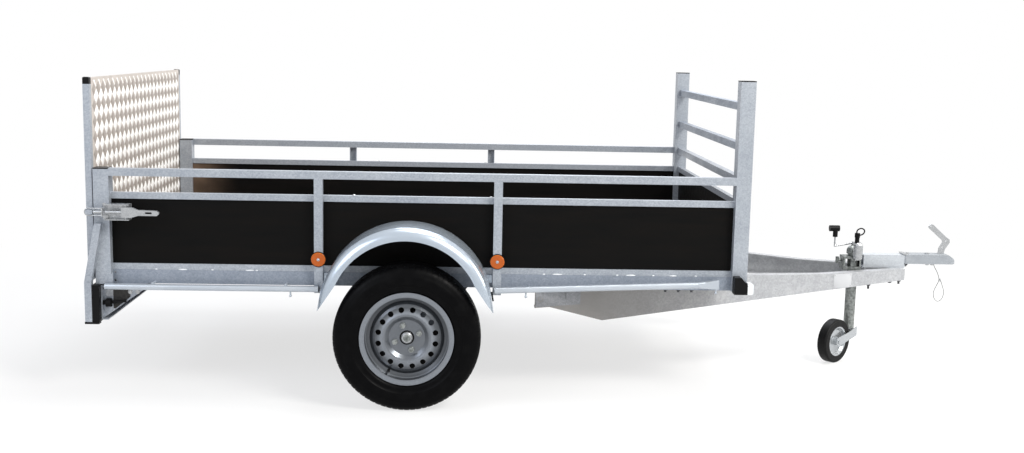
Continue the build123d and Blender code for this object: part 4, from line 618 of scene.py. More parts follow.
def add_slab(bm: Mesh, low: Vector | tuple, high: Vector | tuple, edge: float = 0.0,
             turn: Matrix | None = None) -> None:
    """Add a box, with bevelled edges if asked.

    Args:
        bm: the mesh under construction.
        low: lowest corner.
        high: highest corner.
        edge: width of the bevel.
        turn: transform applied to the box afterwards.
    """
    low, high = Vector(low), Vector(high)
    place = Matrix.Translation((low + high) / 2) @ Matrix.Diagonal((*(high - low), 1.0))
    verts = bmesh.ops.create_cube(bm, size=1.0, matrix=place)["verts"]
    if edge:
        edges = list({e for v in verts for e in v.link_edges})
        verts = bmesh.ops.bevel(bm, geom=edges, offset=edge, offset_type="OFFSET", segments=2, profile=0.5,
                                affect="EDGES", material=-1)["verts"]
    if turn is not None:
        bmesh.ops.transform(bm, matrix=turn, verts=verts)


def add_turned(bm: Mesh, seat: Vector, axis: Vector, lengths_mm: Lengths,
               segments: int = 20) -> None:
    """Add turned lengths in a row along an axis.

    Args:
        bm: the mesh under construction.
        seat: the point that the lengths are measured from.
        axis: unit vector along them.
        lengths_mm: start, end, first radius and last radius of each.
        segments: number of sides.
    """
    for start, end, first, last in lengths_mm:
        add_rod(bm, seat + axis * start * MM, seat + axis * end * MM, first * MM, last * MM, segments)


def add_bolt(bm: Mesh, seat: Vector, axis: Vector, across: float, height: float, washer: float = 0.0) -> None:
    """Add a hexagon head with a chamfered top, on a washer if asked.

    Args:
        bm: the mesh under construction.
        seat: centre of the face that the head stands on.
        axis: unit vector away from that face.
        across: width across the flats.
        height: height of the head.
        washer: radius of the washer, or 0 for none.
    """
    corner = across / math.sqrt(3)
    if washer:
        add_rod(bm, seat, seat + axis * height * 0.2, washer)
    waist = seat + axis * height * 0.8
    add_rod(bm, seat, waist, corner, segments=6)
    add_rod(bm, waist, seat + axis * height, corner, corner * 0.8, segments=6)


def add_dome(bm: Mesh, seat: Vector, axis: Vector, radius: float, height: float) -> None:
    """Add a low round head.

    Args:
        bm: the mesh under construction.
        seat: centre of the face that the head stands on.
        axis: unit vector away from that face.
        radius: radius of the head.
        height: height of the head.
    """
    place = Matrix.Translation(seat) @ towards(axis) @ Matrix.Diagonal((radius, radius, height, 1))
    bmesh.ops.create_uvsphere(bm, u_segments=14, v_segments=8, radius=1.0, matrix=place)


def finish_piece(name: str, bm: Mesh, finish: Finish, body: Body = Body.TRAILER,
                 sharp_deg: float = 32.0) -> bpy.types.Object:
    """Turn a bmesh into an object at the origin that rides on its body.

    Args:
        name: the piece's name.
        bm: its finished mesh, which is freed.
        finish: its finish.
        body: the body that it rides on.
        sharp_deg: edges sharper than this stay hard.

    Returns:
        The new object.
    """
    limit = math.radians(sharp_deg)
    bmesh.ops.recalc_face_normals(bm, faces=bm.faces)
    for face in bm.faces:
        face.smooth = True
    for edge in bm.edges:
        edge.smooth = len(edge.link_faces) == 2 and edge.calc_face_angle(0.0) < limit
    mesh = bpy.data.meshes.new(name)
    bm.to_mesh(mesh)
    bm.free()
    mesh.materials.append(finish.material())
    piece = bpy.data.objects.new(name, mesh)
    bpy.context.scene.collection.objects.link(piece)
    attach(piece, body.value)
    LOG.info("%s: %d faces", name, len(mesh.polygons))
    return piece


def mirrored(bm: Mesh) -> None:
    """Add the copy of everything in a mesh on the other side of the trailer's middle.

    Args:
        bm: the mesh under construction.
    """
    copy = bmesh.ops.duplicate(bm, geom=bm.verts[:] + bm.edges[:] + bm.faces[:])["geom"]
    verts = [item for item in copy if isinstance(item, Vert)]
    bmesh.ops.scale(bm, vec=(1, -1, 1), verts=verts)


# ------------------------------------------------------------------ safety wire
@dataclass
class SafetyWire:
    """Breakaway wire that hangs under the coupling, with the crimp that closes its loop."""

    radius: float = 1.5 * MM
    length: float = 0.325
    leave: Place = (AXLE_X + 2.410, 0.0, 0.443)
    crimp_radius: float = 3.6 * MM
    crimp_length: float = 14 * MM
    crimp_oval: float = 1.25

    def route(self) -> list[Vector]:
        """List the wire's points: the lead from the coupling, then the loop back to the crimp.

        Returns:
            The points.
        """
        lead = ((0, 0, 0), (0, 0, -12), (20, 0, -42), (34, 0, -80))
        loop = ((20, 0.4, -108), (8, 0.9, -138), (13, 1.3, -170), (33, 1.7, -187), (54, 2.1, -170),
                (60, 2.5, -138), (50, 3.0, -108), (40, 3.4, -82))
        return [Vector(self.leave) + Vector(point) * MM for point in lead + loop]

    def build(self) -> None:
        """Build the wire as a smooth curve and the crimp as a rolled sleeve."""
        curve = bpy.data.curves.new("safety_wire_cord", "CURVE")
        curve.dimensions = "3D"
        curve.bevel_depth = self.radius
        curve.bevel_resolution = 3
        curve.resolution_u = 8
        curve.use_fill_caps = True
        spline = curve.splines.new("NURBS")
        points = self.route()
        spline.points.add(len(points) - 1)
        for point, place in zip(spline.points, points):
            point.co = (*place, 1.0)
        spline.order_u = 3
        spline.use_endpoint_u = True
        curve.materials.append(WIRE_STEEL.material())
        wire = bpy.data.objects.new("safety_wire_cord", curve)
        bpy.context.scene.collection.objects.link(wire)
        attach(wire, Body.TRAILER.value)
        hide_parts("safety_wire")
        bm = bmesh.new()
        middle = (points[3] + points[-1]) / 2
        half = (points[3] - points[2]).normalized() * self.crimp_length / 2
        verts = add_rod(bm, middle - half, middle + half, self.crimp_radius, segments=16)
        bmesh.ops.scale(bm, vec=(1, self.crimp_oval, 1), space=Matrix.Translation(-middle), verts=verts)
        crimp = finish_piece("safety_wire_crimp", bm, PLATED)
        LOG.info("safety wire: %d route points", len(points))


# ------------------------------------------------------------------ ramp
@dataclass
class RampTread:
    """Raised five-bar pattern of the tread plate, in groups whose bars cross at right angles."""

    pitch: float = 63 * MM
    bars: int = 5
    bar_length: float = 38 * MM
    bar_width: float = 6.4 * MM
    height: float = 1.6 * MM
    margin: float = 3 * MM
    top_width: float = 0.55
    top_length: float = 0.84

    def bar(self, bm: Mesh, centre: Vector, lean: float) -> None:
        """Add one bar: a low boat shape with narrow ends.

        Args:
            bm: the mesh under construction.
            centre: middle of the bar's foot.
            lean: angle of the bar in the plate's plane.
        """
        verts = bmesh.ops.create_cube(bm, size=1.0)["verts"]
        for v in verts:
            if v.co.x > 0:
                v.co.y *= self.top_width
                v.co.z *= self.top_length
            v.co.x += 0.5
        shape = Matrix.Diagonal((self.height, self.bar_width, self.bar_length, 1))
        place = Matrix.Translation(centre) @ Matrix.Rotation(lean, 4, "X") @ shape
        bmesh.ops.transform(bm, matrix=place, verts=verts)

    def build(self) -> None:
        """Cover the loading face with both sets of groups."""
        low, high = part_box("ramp_plate")
        step = self.pitch / math.sqrt(2) / self.bars
        reach = self.bar_length / 2 * math.cos(math.pi / 4) + self.bar_width / 2 + self.margin
        columns = int((high.y - low.y) / self.pitch) + 2
        rows = int((high.z - low.z) / self.pitch) + 2
        # The rising bars carry the painted highlight and the falling bars the painted shade.
        for name, shift, lean, finish in (("rising", 0.0, math.pi / 4, LIT_TREAD_BARS),
                                          ("falling", 0.5, -math.pi / 4, SHADED_TREAD_BARS)):
            bm = bmesh.new()
            across = Vector((0, math.cos(lean), math.sin(lean)))
            places = [(column + shift, row + shift) for column in range(columns) for row in range(rows)]
            for column, row in places:
                middle = Vector((high.x, low.y + column * self.pitch, low.z + row * self.pitch))
                for k in range(self.bars):
                    centre = middle + across * step * (k - (self.bars - 1) / 2)
                    inside_y = low.y + reach < centre.y < high.y - reach
                    if inside_y and low.z + reach < centre.z < high.z - reach:
                        self.bar(bm, centre, lean)
            finish_piece(f"tread_bars_{name}", bm, finish, Body.RAMP, sharp_deg=60)


# ------------------------------------------------------------------ road wheels
@dataclass
class RoadWheel:
    """Tyre with its tread, hexagon wheel bolts, valve, dark ring of painted shade in the bore and grease
    cap's crown of one road wheel.
    """

    side_name: str
    side: int
    pitches: int = 76
    # What each step of a pitch cuts, and its share of the pitch.
    pitch_steps: tuple[tuple[str, float], ...] = (
        ("", 0.30), ("shoulder", 0.03), ("shoulder", 0.14), ("", 0.03),
        ("", 0.30), ("centre", 0.03), ("centre", 0.14), ("", 0.03))
    groove_depth: float = 6.5 * MM
    groove_width: float = 7 * MM
    first_groove: float = 9 * MM
    second_groove: float = 31 * MM
    shoulder_in: float = 30 * MM
    slot_depth: float = 1.8 * MM
    bead_radius: float = 165.3 * MM
    flange_radius: float = 182.3 * MM
    bead_half: float = 56.7 * MM
    toe_in: float = 18 * MM
    merge: float = 0.05 * MM
    bolts: int = 4
    bolt_circle: float = 50 * MM
    bolt_angle: float = 20.0
    bolt_sunk: float = 2 * MM
    bolt: Pair = (17 * MM, 5 * MM)
    cap_bolt_out: float = 1.4 * MM
    cap_bolt: Pair = (13 * MM, 2.5 * MM)
    # Turned lengths in mm, as add_turned takes them.
    bolt_seat: Lengths = ((-9, -7, 12, 10.5),)
    cap_crown: Lengths = ((-0.2, 1.5, 15, 13),)
    valve_stem: Lengths = ((0, 14, 6.5, 4.5), (14, 32, 4.5, 3.8), (32, 40, 4.4, 4.0))
    cap_stands: float = 12.6 * MM
    cap_radius: float = 22.2 * MM
    bore_radius: float = 28.4 * MM
    valve_angle: float = -118.0
    valve_radius: float = 150 * MM
    valve_out: float = 20 * MM
    valve_lean: float = 0.2

    def __post_init__(self) -> None:
        """Read the wheel's place, the tyre's size and the hub's face from the frame."""
        low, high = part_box(f"tyre_{self.side_name}")
        self.centre = (low + high) / 2
        self.radius = (high.z - low.z) / 2
        self.half = (high.y - low.y) / 2
        self.out = OUT * self.side
        self.body = Body.RIGHT_WHEEL if self.side < 0 else Body.LEFT_WHEEL
        low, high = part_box(f"hub_{self.side_name}")
        self.hub = Vector((self.centre.x, high.y if self.side > 0 else low.y, self.centre.z))

    def crown(self) -> Outline:
        """Draw the half profile from the middle rib out to the shoulder.

        Returns:
            Half width, radius and whether lateral slots cut that point: "centre", "shoulder" or "".
        """
        r, g, d = self.radius, self.groove_width, self.groove_depth
        first, second, shoulder = self.first_groove, self.second_groove, self.half - self.shoulder_in
        return [(0.0, r, "centre"), (first, r, "centre"), (first + 1 * MM, r - d, ""),
                (first + g - 1 * MM, r - d, ""), (first + g, r - 0.2 * MM, "centre"),
                (second - 1 * MM, r - 0.5 * MM, "centre"), (second, r - d, ""), (second + g, r - d, ""),
                (second + g + 1 * MM, r - 0.8 * MM, "shoulder"), (shoulder, r - 1.5 * MM, "shoulder"),
                (shoulder + 9 * MM, r - 6 * MM, "shoulder"), (self.half - 11 * MM, r - 17 * MM, "")]

    def wall(self) -> Outline:
        """Draw the half profile of the sidewall, from the shoulder to the bead's toe.

        Returns:
            Half width and radius of each point, and "" for no slots.
        """
        below_tread = ((7, 26), (2.5, 38), (2, 39), (0, 50), (0.3, 62), (2, 72), (3.5, 73))
        above_flange = ((8, 18), (9, 10), (15, 4))
        upper = [(self.half - x * MM, self.radius - z * MM, "") for x, z in below_tread]
        lower = [(self.half - x * MM, self.flange_radius + z * MM, "") for x, z in above_flange]
        bead = [(self.bead_half, self.flange_radius, ""), (self.bead_half, self.bead_radius, ""),
                (self.bead_half - self.toe_in, self.bead_radius, "")]
        return upper + lower + bead

    def tyre(self) -> None:
        """Build the tyre by turning its profile round the axle in short steps, with slots between blocks."""
        half = self.crown() + self.wall()
        profile = [(-y, r, kind) for y, r, kind in reversed(half[1:])] + half
        bm = bmesh.new()
        ring = [bm.verts.new(self.centre + Vector((0, y, r))) for y, r, _ in profile]
        edges = [bm.edges.new(pair) for pair in zip(ring, ring[1:])]
        pitch = 2 * math.pi / self.pitches
        for state, share in self.pitch_steps * self.pitches:
            made = bmesh.ops.extrude_edge_only(bm, edges=edges)["geom"]
            edges = [item for item in made if isinstance(item, bmesh.types.BMEdge)]
            ring = list({v for e in edges for v in e.verts})
            bmesh.ops.rotate(bm, cent=self.centre, matrix=Matrix.Rotation(pitch * share, 3, "Y"), verts=ring)
            self.sink(ring, profile, state)
        bmesh.ops.remove_doubles(bm, verts=bm.verts, dist=self.merge)
        piece = finish_piece(f"road_tyre_{self.side_name}", bm, ROAD_RUBBER, self.body,
                             sharp_deg=40)
        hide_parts(f"tyre_{self.side_name}")

    def sink(self, ring: list[Vert], profile: Outline, state: str) -> None:
        """Put a ring of vertices at its profile's radius, lower where this state cuts a slot.

        Args:
            ring: the vertices.
            profile: the profile, whose widths name the vertices.
            state: which ribs are cut here.
        """
        by_width = {round(y / MM, 2): (r, kind) for y, r, kind in profile if kind}
        for v in ring:
            across = v.co.y - self.centre.y
            key = round(across / MM, 2)
            if key in by_width:
                r, kind = by_width[key]
                spoke = Vector((v.co.x - self.centre.x, 0, v.co.z - self.centre.z)).normalized()
                depth = self.slot_depth if kind == state else 0.0
                v.co = self.centre + spoke * (r - depth) + OUT * across

    def around(self, radius: float, angle: float, y: float) -> Vector:
        """Return the point at a radius and at an angle in degrees round the axle."""
        a = math.radians(angle)
        return Vector((self.centre.x + radius * math.cos(a), y, self.centre.z + radius * math.sin(a)))

    def bolt_heads(self) -> None:
        """Add the wheel bolts' heads and the crown of the grease cap."""
        bm = bmesh.new()
        for i in range(self.bolts):
            angle = self.bolt_angle + 360 / self.bolts * i
            seat = self.around(self.bolt_circle, angle, self.hub.y - self.side * self.bolt_sunk)
            add_bolt(bm, seat, self.out, *self.bolt)
            add_turned(bm, seat, self.out, self.bolt_seat)
        add_turned(bm, self.hub, self.out, self.cap_crown, segments=28)
        add_bolt(bm, self.hub + self.out * self.cap_bolt_out, self.out, *self.cap_bolt)
        finish_piece(f"wheel_bolts_{self.side_name}", bm, DULL_PLATED, self.body)

    def bore_shade_ring(self) -> None:
        """Add the flat black ring between the grease cap and the rim's bore, painted shade for the gap there.
        """
        bm = bmesh.new()
        seat = self.hub - self.out * self.cap_stands
        ring = bmesh.ops.create_circle(bm, cap_ends=False, segments=48, radius=self.bore_radius,
                                       matrix=Matrix.Translation(seat) @ towards(self.out))["verts"]
        rim_edges = list({e for v in ring for e in v.link_edges})
        made = bmesh.ops.extrude_edge_only(bm, edges=rim_edges)["geom"]
        inner = [item for item in made if isinstance(item, Vert)]
        share = self.cap_radius / self.bore_radius
        bmesh.ops.scale(bm, vec=(share, 1, share), space=Matrix.Translation(-seat), verts=inner)
        finish_piece(f"bore_shade_ring_{self.side_name}", bm, TRIM_RUBBER, self.body)

    def valve(self) -> None:
        """Add the tyre's valve, which leans towards the axle."""
        foot = self.around(self.valve_radius, self.valve_angle, self.centre.y + self.side * self.valve_out)
        a = math.radians(self.valve_angle)
        lean = self.out - Vector((math.cos(a), 0, math.sin(a))) * self.valve_lean
        bm = bmesh.new()
        add_turned(bm, foot, lean.normalized(), self.valve_stem)
        finish_piece(f"tyre_valve_{self.side_name}", bm, TRIM_RUBBER, self.body)

    def build(self) -> None:
        """Build the tyre and its fittings."""
        self.tyre()
        self.bolt_heads()
        self.bore_shade_ring()
        self.valve()


# ------------------------------------------------------------------ load bed details
@dataclass
class BedDetails:
    """Weld stitches, screws and bolts on the load bed's sides."""

    stitch_dots: Row = (-1.002, -0.781, -0.607, 0.537, 0.701, 0.832, 0.978, 1.150)
    stitch_runs: tuple[Pair, ...] = ((-0.916, -0.880), (-0.651, -0.617), (0.571, 0.611), (0.868, 0.906),
                                     (1.044, 1.073))
    dot_half: float = 5 * MM
    stitch_high: float = 2.8 * MM
    stitch_from: Pair = (1 * MM, 2 * MM)
    screw_washer: Row = (-0.5, 0.8, 6, 6)
    screw_head: Pair = (4 * MM, 2 * MM)
    top_bolt_x: Row = (-0.223, 0.320)
    top_bolt_in: float = 11 * MM
    top_bolt: Pair = (7 * MM, 5 * MM)

    def build(self) -> None:
        """Build the stitches and fasteners on both sides."""
        self.stitches()
        self.screws()

    def stitches(self) -> None:
        """Add the short welds between the side beams and the panels' foot rails."""
        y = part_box("panel_rails")[1].y + self.stitch_from[0]
        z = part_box("side_beams")[1].z + self.stitch_from[1]
        bm = bmesh.new()
        dots = [(x - self.dot_half, x + self.dot_half) for x in self.stitch_dots]
        for start, end in dots + list(self.stitch_runs):
            seat = Vector(((start + end) / 2 + AXLE_X, y, z))
            shape = Matrix.Diagonal(((end - start) / 2, self.stitch_high, self.stitch_high, 1))
            place = Matrix.Translation(seat) @ shape
            bmesh.ops.create_uvsphere(bm, u_segments=12, v_segments=8, radius=1.0, matrix=place)
        mirrored(bm)
        finish_piece("beam_weld_stitches", bm, WELD)

    def screws(self) -> None:
        """Add the reflectors' screws, and the bolts on the panels' top rails."""
        bm = bmesh.new()
        low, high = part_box("side_reflectors")
        ring = (high.z - low.z) / 2
        for x in (low.x + ring, high.x - ring):
            seat = Vector((x, high.y, (low.z + high.z) / 2))
            add_turned(bm, seat, OUT, (self.screw_washer,))
            add_dome(bm, seat + OUT * self.screw_washer[1] * MM, OUT, *self.screw_head)
        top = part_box("panel_rails")[1]
        for x in self.top_bolt_x:
            add_dome(bm, Vector((x + AXLE_X, top.y - self.top_bolt_in, top.z)), UP, *self.top_bolt)
        mirrored(bm)
        finish_piece("side_screws", bm, PLATED)


# ------------------------------------------------------------------ lamp details
@dataclass
class LampDetails:
    """Cable glands behind the tail lamps, and the dark plates of painted shade and the bolts of the light
    bar's gussets.
    """

    gland: Place = (AXLE_X - 1.186, 0.740, 0.3695)
    gland_radius: float = 17 * MM
    gland_half: float = 10 * MM
    stub_radius: float = 9 * MM
    stub_lap: float = 4 * MM
    tail_radii: Pair = (7 * MM, 5.5 * MM)
    tail_end: Place = (AXLE_X - 1.118, 0.740, 0.3765)
    gusset_thick: float = 5 * MM
    slope_meets: float = 0.3915
    slope_rise: float = 0.814
    recess_low: Pair = (AXLE_X - 1.171, 0.344)
    recess_high: Pair = (AXLE_X - 1.104, 0.4215)
    recess_thick: float = 0.6 * MM
    bolt_x: Pair = (AXLE_X - 1.104, AXLE_X - 1.075)
    bolt_z: float = 0.412
    bolt: Row = (13 * MM, 5 * MM, 9 * MM)

    def build(self) -> None:
        """Build the glands, the recess plates and the bolts on both sides."""
        self.glands()
        self.gussets()

    def glands(self) -> None:
        """Add the cable glands with their stubs of sleeve."""
        bm = bmesh.new()
        middle, end = Vector(self.gland), Vector(self.tail_end)
        bar = Vector((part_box("light_bar")[0].x + self.stub_lap, middle.y, middle.z))
        add_rod(bm, bar, middle - Vector((self.stub_lap, 0, 0)), self.stub_radius)
        half = Vector((self.gland_half, 0, 0))
        add_rod(bm, middle - half, middle + half, self.gland_radius, segments=24)
        add_rod(bm, middle, end, *self.tail_radii)
        mirrored(bm)
        finish_piece("lamp_cable_glands", bm, TRIM_RUBBER)

    def gussets(self) -> None:
        """Add the bolts, and the dark plates of painted shade that stand for the gussets' shaded recesses,
        cut along their slope.
        """
        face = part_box("side_beams")[1].y + self.gusset_thick
        bm = bmesh.new()
        (x0, z0), (x1, z1) = self.recess_low, self.recess_high
        add_slab(bm, (x0, face, z0), (x1, face + self.recess_thick, z1))
        slope = Vector((self.slope_rise, 0, -1)).normalized()
        bmesh.ops.bisect_plane(bm, geom=bm.verts[:] + bm.edges[:] + bm.faces[:], clear_outer=True,
                               plane_co=Vector((x1, face, self.slope_meets)), plane_no=slope)
        bmesh.ops.holes_fill(bm, edges=bm.edges)
        mirrored(bm)
        finish_piece("gusset_shade_plate", bm, SHADED_STEEL)
        bm = bmesh.new()
        for x in self.bolt_x:
            add_bolt(bm, Vector((x, face, self.bolt_z)), OUT, *self.bolt)
        mirrored(bm)
        finish_piece("gusset_bolts", bm, PLATED)


# ------------------------------------------------------------------ drawbar details
@dataclass
class DrawbarDetails:
    """Bracket plates on the beams' ends, blank type plate, nuts below the beams and the coupling's bolts."""

    plate_x: Pair = (AXLE_X + 1.881, AXLE_X + 1.972)
    plate_z: Pair = (0.356, 0.419)
    plate_thick: float = 1 * MM
    rivet_in: float = 6 * MM
    rivet: Pair = (2.4 * MM, 1.2 * MM)
    end_x: Pair = (AXLE_X + 0.506, AXLE_X + 0.694)
    end_z: Pair = (0.365, 0.442)
    end_thick: float = 1.5 * MM
    plug_at: Pair = (0.026, 0.040)
    plug: Lengths = ((-0.2, 0.8, 12, 12),)
    plug_dome_at: float = 0.7 * MM
    plug_dome: Pair = (7 * MM, 1.2 * MM)
    tab_at: Pair = (0.137, 0.040)
    tab_half: Pair = (2.5 * MM, 13 * MM)
    tab_thick: float = 2 * MM
    web_nose_in: float = 39.3 * MM
    deepest_x: float = AXLE_X + 0.790
    nose_foot: float = 0.371
    head_top_x: Row = (2.375, 2.278)
    head_top_bolt: Row = (19 * MM, 6 * MM, 13 * MM)
    head_foot_x: Row = (2.375, 2.398)
    head_foot_bolt: Row = (15 * MM, 9 * MM, 9 * MM)
    head_foot_right: float = 8 * MM
    collar_x: float = 2.262
    collar_half: Pair = (9 * MM, 34 * MM)
    collar_z: Pair = (-1 * MM, 4 * MM)
    collar_edge: float = 1 * MM
    head_nut: Pair = (2.268, 24 * MM)
    beam_nut_x: Row = (1.034, 1.087, 1.141)
    beam_nut_y: float = 0.695
    # Places of the nuts below the webs, and their bolts' reach in mm.
    web_nuts: tuple[Pair, ...] = ((2.071, 24), (2.183, 10), (2.233, 20))
    web_nut_in: float = 20 * MM
    web_nut_lap: float = 1 * MM
    # Width across flats, height, radius of the washer, radius and reach of the bolt, in mm.
    head_nut_mm: Row = (15, 8, 11, 4, 13)
    beam_nut_mm: Row = (17, 8, 12, 5, 14)
    web_nut_mm: Row = (17, 9, 12, 5)

    def outer_face(self, x: float) -> float:
        """Measure how far out the beams' webs are.

        Args:
            x: the place along the trailer.

        Returns:
            Distance from the middle.
        """
        low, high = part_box("drawbar_left")
        rear, nose = Vector((low.x, high.y)), Vector((high.x, low.y + self.web_nose_in))
        return rear.y + (nose.y - rear.y) * (x - rear.x) / (nose.x - rear.x)

    def underside(self, x: float) -> float:
        """Measure the beams' lower edge ahead of their deepest point.

        Args:
            x: the place along the trailer.

        Returns:
            Its height.
        """
        low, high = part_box("drawbar_left")
        deepest, nose = Vector((self.deepest_x, low.z)), Vector((high.x, self.nose_foot))
        return deepest.y + (nose.y - deepest.y) * (x - deepest.x) / (nose.x - deepest.x)

    def on_web(self, span: Pair, foot: float, side: int) -> tuple[Matrix, float]:
        """Find the place of a plate on a beam's web.

        Args:
            span: where it starts and ends along the trailer.
            foot: height of its lower edge.
            side: 1 for the left beam and -1 for the right one.

        Returns:
            The transform with X along the web, Y square to it and to the left, and Z up; and the length.
        """
        a, b = [Vector((x, side * self.outer_face(x), foot)) for x in span]
        along = (b - a).normalized()
        axes = Matrix((along, Vector((-along.y, along.x, 0)), UP)).transposed()
        return Matrix.Translation(a) @ axes.to_4x4(), (b - a).length

    def build(self) -> None:
        """Build the plates and the fasteners."""
        self.end_plates()
        self.type_plate()
        self.fasteners()

    def end_plates(self) -> None:
        """Add the bracket plates on the beams' rear ends, each with a round plug and a short tab; their
        darker zinc is painted shade.
        """
        turn, length = self.on_web(self.end_x, self.end_z[0], 1)
        out = turn.col[1].to_3d()
        t = self.end_thick
        bm = bmesh.new()
        add_slab(bm, (0, -LAP, 0), (length, t, self.end_z[1] - self.end_z[0]), EDGE, turn)
        seat = turn @ Vector((self.plug_at[0], t, self.plug_at[1]))
        add_turned(bm, seat, out, self.plug)
        add_dome(bm, seat + out * self.plug_dome_at, out, *self.plug_dome)
        (x, z), (wide, high) = self.tab_at, self.tab_half
        add_slab(bm, (x - wide, t - LAP, z - high), (x + wide, t + self.tab_thick, z + high), EDGE, turn)
        mirrored(bm)
        finish_piece("drawbar_end_plates", bm, SHADED_BRACKET_ZINC)

    def type_plate(self) -> None:
        """Add the blank plate and its four rivets on the right beam."""
        turn, length = self.on_web(self.plate_x, self.plate_z[0], -1)
        height = self.plate_z[1] - self.plate_z[0]
        bm = bmesh.new()
        add_slab(bm, (0, -self.plate_thick, 0), (length, LAP, height), EDGE, turn)
        finish_piece("type_plate_blank", bm, PLATE_ENAMEL)
        bm = bmesh.new()
        for dx in (self.rivet_in, length - self.rivet_in):
            for dz in (self.rivet_in, height - self.rivet_in):
                seat = turn @ Vector((dx, -self.plate_thick, dz))
                add_dome(bm, seat, -turn.col[1].to_3d(), *self.rivet)
        finish_piece("type_plate_rivets", bm, PLATED)

    def nuts(self, bm: Mesh, place: Place, sizes_mm: Row) -> None:
        """Add a nut that faces down on each side, on its washer, with the bolt's end through it.

        Args:
            bm: the mesh under construction.
            place: distances ahead of the axle and from the middle, and height of the face it stands on.
            sizes_mm: width across flats, height, radius of the washer, radius and reach of the bolt.
        """
        across, height, washer, radius, reach = [size * MM for size in sizes_mm]
        for side in (-1, 1):
            seat = Vector((place[0] + AXLE_X, side * place[1], place[2]))
            add_bolt(bm, seat, DOWN, across, height, washer)
            add_rod(bm, seat, seat + DOWN * reach, radius)

    def fasteners(self) -> None:
        """Add the bolts through the beams and the coupling."""
        head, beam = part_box("coupling_head"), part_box("side_beams")[0].z
        bm = bmesh.new()
        for x in self.head_top_x:
            add_bolt(bm, Vector((x + AXLE_X, 0, head[1].z)), UP, *self.head_top_bolt)
        for x in self.head_foot_x:
            seat = Vector((x + AXLE_X, -self.head_foot_right, head[0].z))
            add_bolt(bm, seat, DOWN, *self.head_foot_bolt)
        collar, half = Vector((self.collar_x + AXLE_X, 0, head[1].z)), Vector((*self.collar_half, 0))
        foot, top = self.collar_z
        add_slab(bm, collar - half + UP * foot, collar + half + UP * top, self.collar_edge)
        finish_piece("coupling_bolts", bm, PLATED)
        bm = bmesh.new()
        self.nuts(bm, (*self.head_nut, head[0].z), self.head_nut_mm)
        for x in self.beam_nut_x:
            self.nuts(bm, (x, self.beam_nut_y, beam), self.beam_nut_mm)
        for x, reach in self.web_nuts:
            y = self.outer_face(x + AXLE_X) - self.web_nut_in
            z = self.underside(x + AXLE_X) + self.web_nut_lap
            self.nuts(bm, (x, y, z), (*self.web_nut_mm, reach))
        finish_piece("drawbar_bolts", bm, DARK_PLATED)


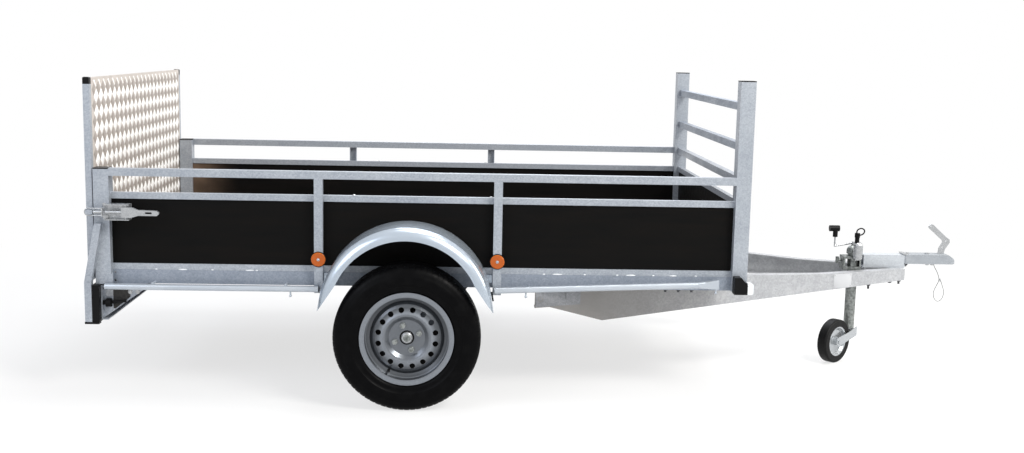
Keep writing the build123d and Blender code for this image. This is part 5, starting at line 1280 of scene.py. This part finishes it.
# ------------------------------------------------------------------ camera, light and floor
@dataclass
class Studio:
    """Camera, soft light and the plain pale floor, whose paper is dark in an oval under the trailer as a
    painted shadow.
    """

    focal_px: float = 1204.43
    image_px: int = 1024
    sensor_mm: float = 36.0
    place: Place = (AXLE_X + 0.214, -5.4658, 1.4068)
    yaw: float = 0.0402
    pitch: float = 0.1489
    roll: float = -0.0207
    lamps: tuple[tuple, ...] = (("key", (3.4, -4.4, 5.4), 2.2, 440, "#fffdf8"),
                                ("top", (0.6, 0.4, 6.2), 3.0, 230, "#ffffff"),
                                ("fill", (-4.4, -4.0, 3.4), 3.0, 110, "#eaf1ff"),
                                ("back", (0.0, 4.5, 4.5), 3.0, 160, "#f2f6ff"),
                                ("front", (5.6, -0.6, 3.0), 2.4, 130, "#fffaf2"))
    aim: Place = (0.0, 0.0, 0.5)
    ambient: float = 0.5
    floor_half: float = 30.0
    # Share of the lit floor that shows near the trailer, and the distances between which that fades out.
    shadow_share: float = 0.3
    shadow_reach: Pair = (2.2, 4.2)
    shadow_squeeze: Place = (0.8, 1.2, 1.0)
    # The oval under the trailer is a painted shadow: dark paper that the camera sees without the white.
    shadow_oval_centre: Place = (AXLE_X - 0.03, 0.35, 0.0)
    shadow_oval_squeeze: Place = (3.5, 1.0, 1.0)
    shadow_oval_edge: Pair = (0.75, 1.0)
    # How pale the paper is inside the oval, where it is a painted shadow, and outside it.
    paper: Pair = (0.03, 0.81)

    def camera(self) -> None:
        """Place the scene's camera."""
        data = bpy.data.cameras.new("view")
        data.sensor_width = self.sensor_mm
        data.lens = self.focal_px * self.sensor_mm / self.image_px
        data.clip_end = 200.0
        level = Vector((math.cos(self.yaw), -math.sin(self.yaw), 0))
        ahead = Vector((math.sin(self.yaw) * math.cos(self.pitch), math.cos(self.yaw) * math.cos(self.pitch),
                        -math.sin(self.pitch)))
        below = ahead.cross(level)
        right = math.cos(self.roll) * level + math.sin(self.roll) * below
        down = -math.sin(self.roll) * level + math.cos(self.roll) * below
        axes = Matrix((right, -down, -ahead)).transposed().to_4x4()
        camera = bpy.data.objects.new("view", data)
        camera.matrix_world = Matrix.Translation(self.place) @ axes
        bpy.context.scene.collection.objects.link(camera)
        bpy.context.scene.camera = camera

    def lamp(self, name: str, place: Place, size: float, power: float,
             colour: str) -> None:
        """Add a soft square lamp that looks at the middle of the trailer.

        Args:
            name: the lamp's name.
            place: where it hangs.
            size: its side in metres.
            power: its power in watts.
            colour: its sRGB colour.
        """
        data = bpy.data.lights.new(name, "AREA")
        data.size = size
        data.energy = power
        data.color = linear(colour)[:3]
        lamp = bpy.data.objects.new(name, data)
        lamp.location = place
        lamp.rotation_euler = (Vector(self.aim) - Vector(place)).to_track_quat("-Z", "Y").to_euler()
        bpy.context.scene.collection.objects.link(lamp)

    def seen_by(self, nodes: Nodes, rays: tuple[str, ...]) -> Node:
        """Tell some kinds of ray from all others.

        Args:
            nodes: the material's or the world's nodes.
            rays: the kinds' sockets.

        Returns:
            The node that gives 1 for them.
        """
        path = nodes.add("LightPath").outputs
        seen = path[rays[0]]
        for ray in rays[1:]:
            seen = nodes.add("Math", (seen, path[ray]), operation="ADD", use_clamp=True)
        return seen

    def world(self) -> None:
        """Make a world that is white to the camera and in reflections, and softer as light."""
        world = bpy.data.worlds.new("studio")
        bpy.context.scene.world = world
        nodes = Nodes(world)
        seen = self.seen_by(nodes, ("Is Camera Ray", "Is Glossy Ray", "Is Transmission Ray"))
        strength = nodes.add("MapRange", (seen, 0.0, 1.0, self.ambient, 1.0))
        light = nodes.add("Background", {"Color": linear("#ffffff"), "Strength": strength})
        nodes.add("OutputWorld", (light,))

    def distance(self, nodes: Nodes, place: Node | Socket, squeeze: Place) -> Socket:
        """Measure the distance from a pattern's centre, in ovals.

        Args:
            nodes: the material's nodes.
            place: coordinates from the centre.
            squeeze: how much each axis is squeezed.

        Returns:
            The distance's socket.
        """
        squeezed = nodes.add("Mapping", {"Vector": place, "Scale": squeeze})
        return nodes.add("VectorMath", (squeezed,), operation="LENGTH").outputs["Value"]

    def floor(self) -> None:
        """Lay a pale floor that keeps the trailer's shadow near it, has a painted shadow of dark paper in an
        oval under the trailer, and is plain white further off.
        """
        bm = bmesh.new()
        bmesh.ops.create_grid(bm, x_segments=1, y_segments=1, size=self.floor_half)
        mesh = bpy.data.meshes.new("floor")
        bm.to_mesh(mesh)
        bm.free()
        made = bpy.data.materials.new("studio_paper")
        nodes = Nodes(made)
        white = nodes.add("Emission", {"Color": linear("#ffffff"), "Strength": 1.0})
        seen = self.seen_by(nodes, ("Is Camera Ray", "Is Glossy Ray"))
        place = nodes.add("TexCoord").outputs["Object"]
        away = self.distance(nodes, place, self.shadow_squeeze)
        share = nodes.add("MapRange", (away, *self.shadow_reach, 1 - self.shadow_share, 1.0))
        # Painted shadow: dark paper in the oval.
        below = nodes.add("VectorMath", (place, self.shadow_oval_centre), operation="SUBTRACT")
        reach = self.distance(nodes, below, self.shadow_oval_squeeze)
        open_floor = nodes.add("MapRange", (reach, *self.shadow_oval_edge, 0.0, 1.0))
        share = nodes.add("Math", (share, open_floor), operation="MULTIPLY")
        paper = nodes.add("MapRange", (reach, *self.shadow_oval_edge, *self.paper))
        lit = nodes.add("BsdfDiffuse", {"Color": paper})
        factor = nodes.add("Math", (seen, share), operation="MULTIPLY")
        nodes.add("OutputMaterial", (nodes.add("MixShader", (factor, lit, white)),))
        mesh.materials.append(made)
        floor = bpy.data.objects.new("floor", mesh)
        bpy.context.scene.collection.objects.link(floor)

    def build(self) -> None:
        """Set up the camera, the light and the floor."""
        self.camera()
        self.world()
        for lamp in self.lamps:
            self.lamp(*lamp)
        self.floor()
        bpy.context.scene.view_settings.view_transform = "Standard"


def main() -> None:
    """Build the whole scene."""
    logging.basicConfig(level=logging.INFO, format="%(name)s: %(message)s")
    Studio().build()
    SafetyWire().build()
    dress_nodes()
    RampTread().build()
    for side_name, side in SIDES:
        RoadWheel(side_name, side).build()
    BedDetails().build()
    LampDetails().build()
    DrawbarDetails().build()


if __name__ == "__main__":
    main()
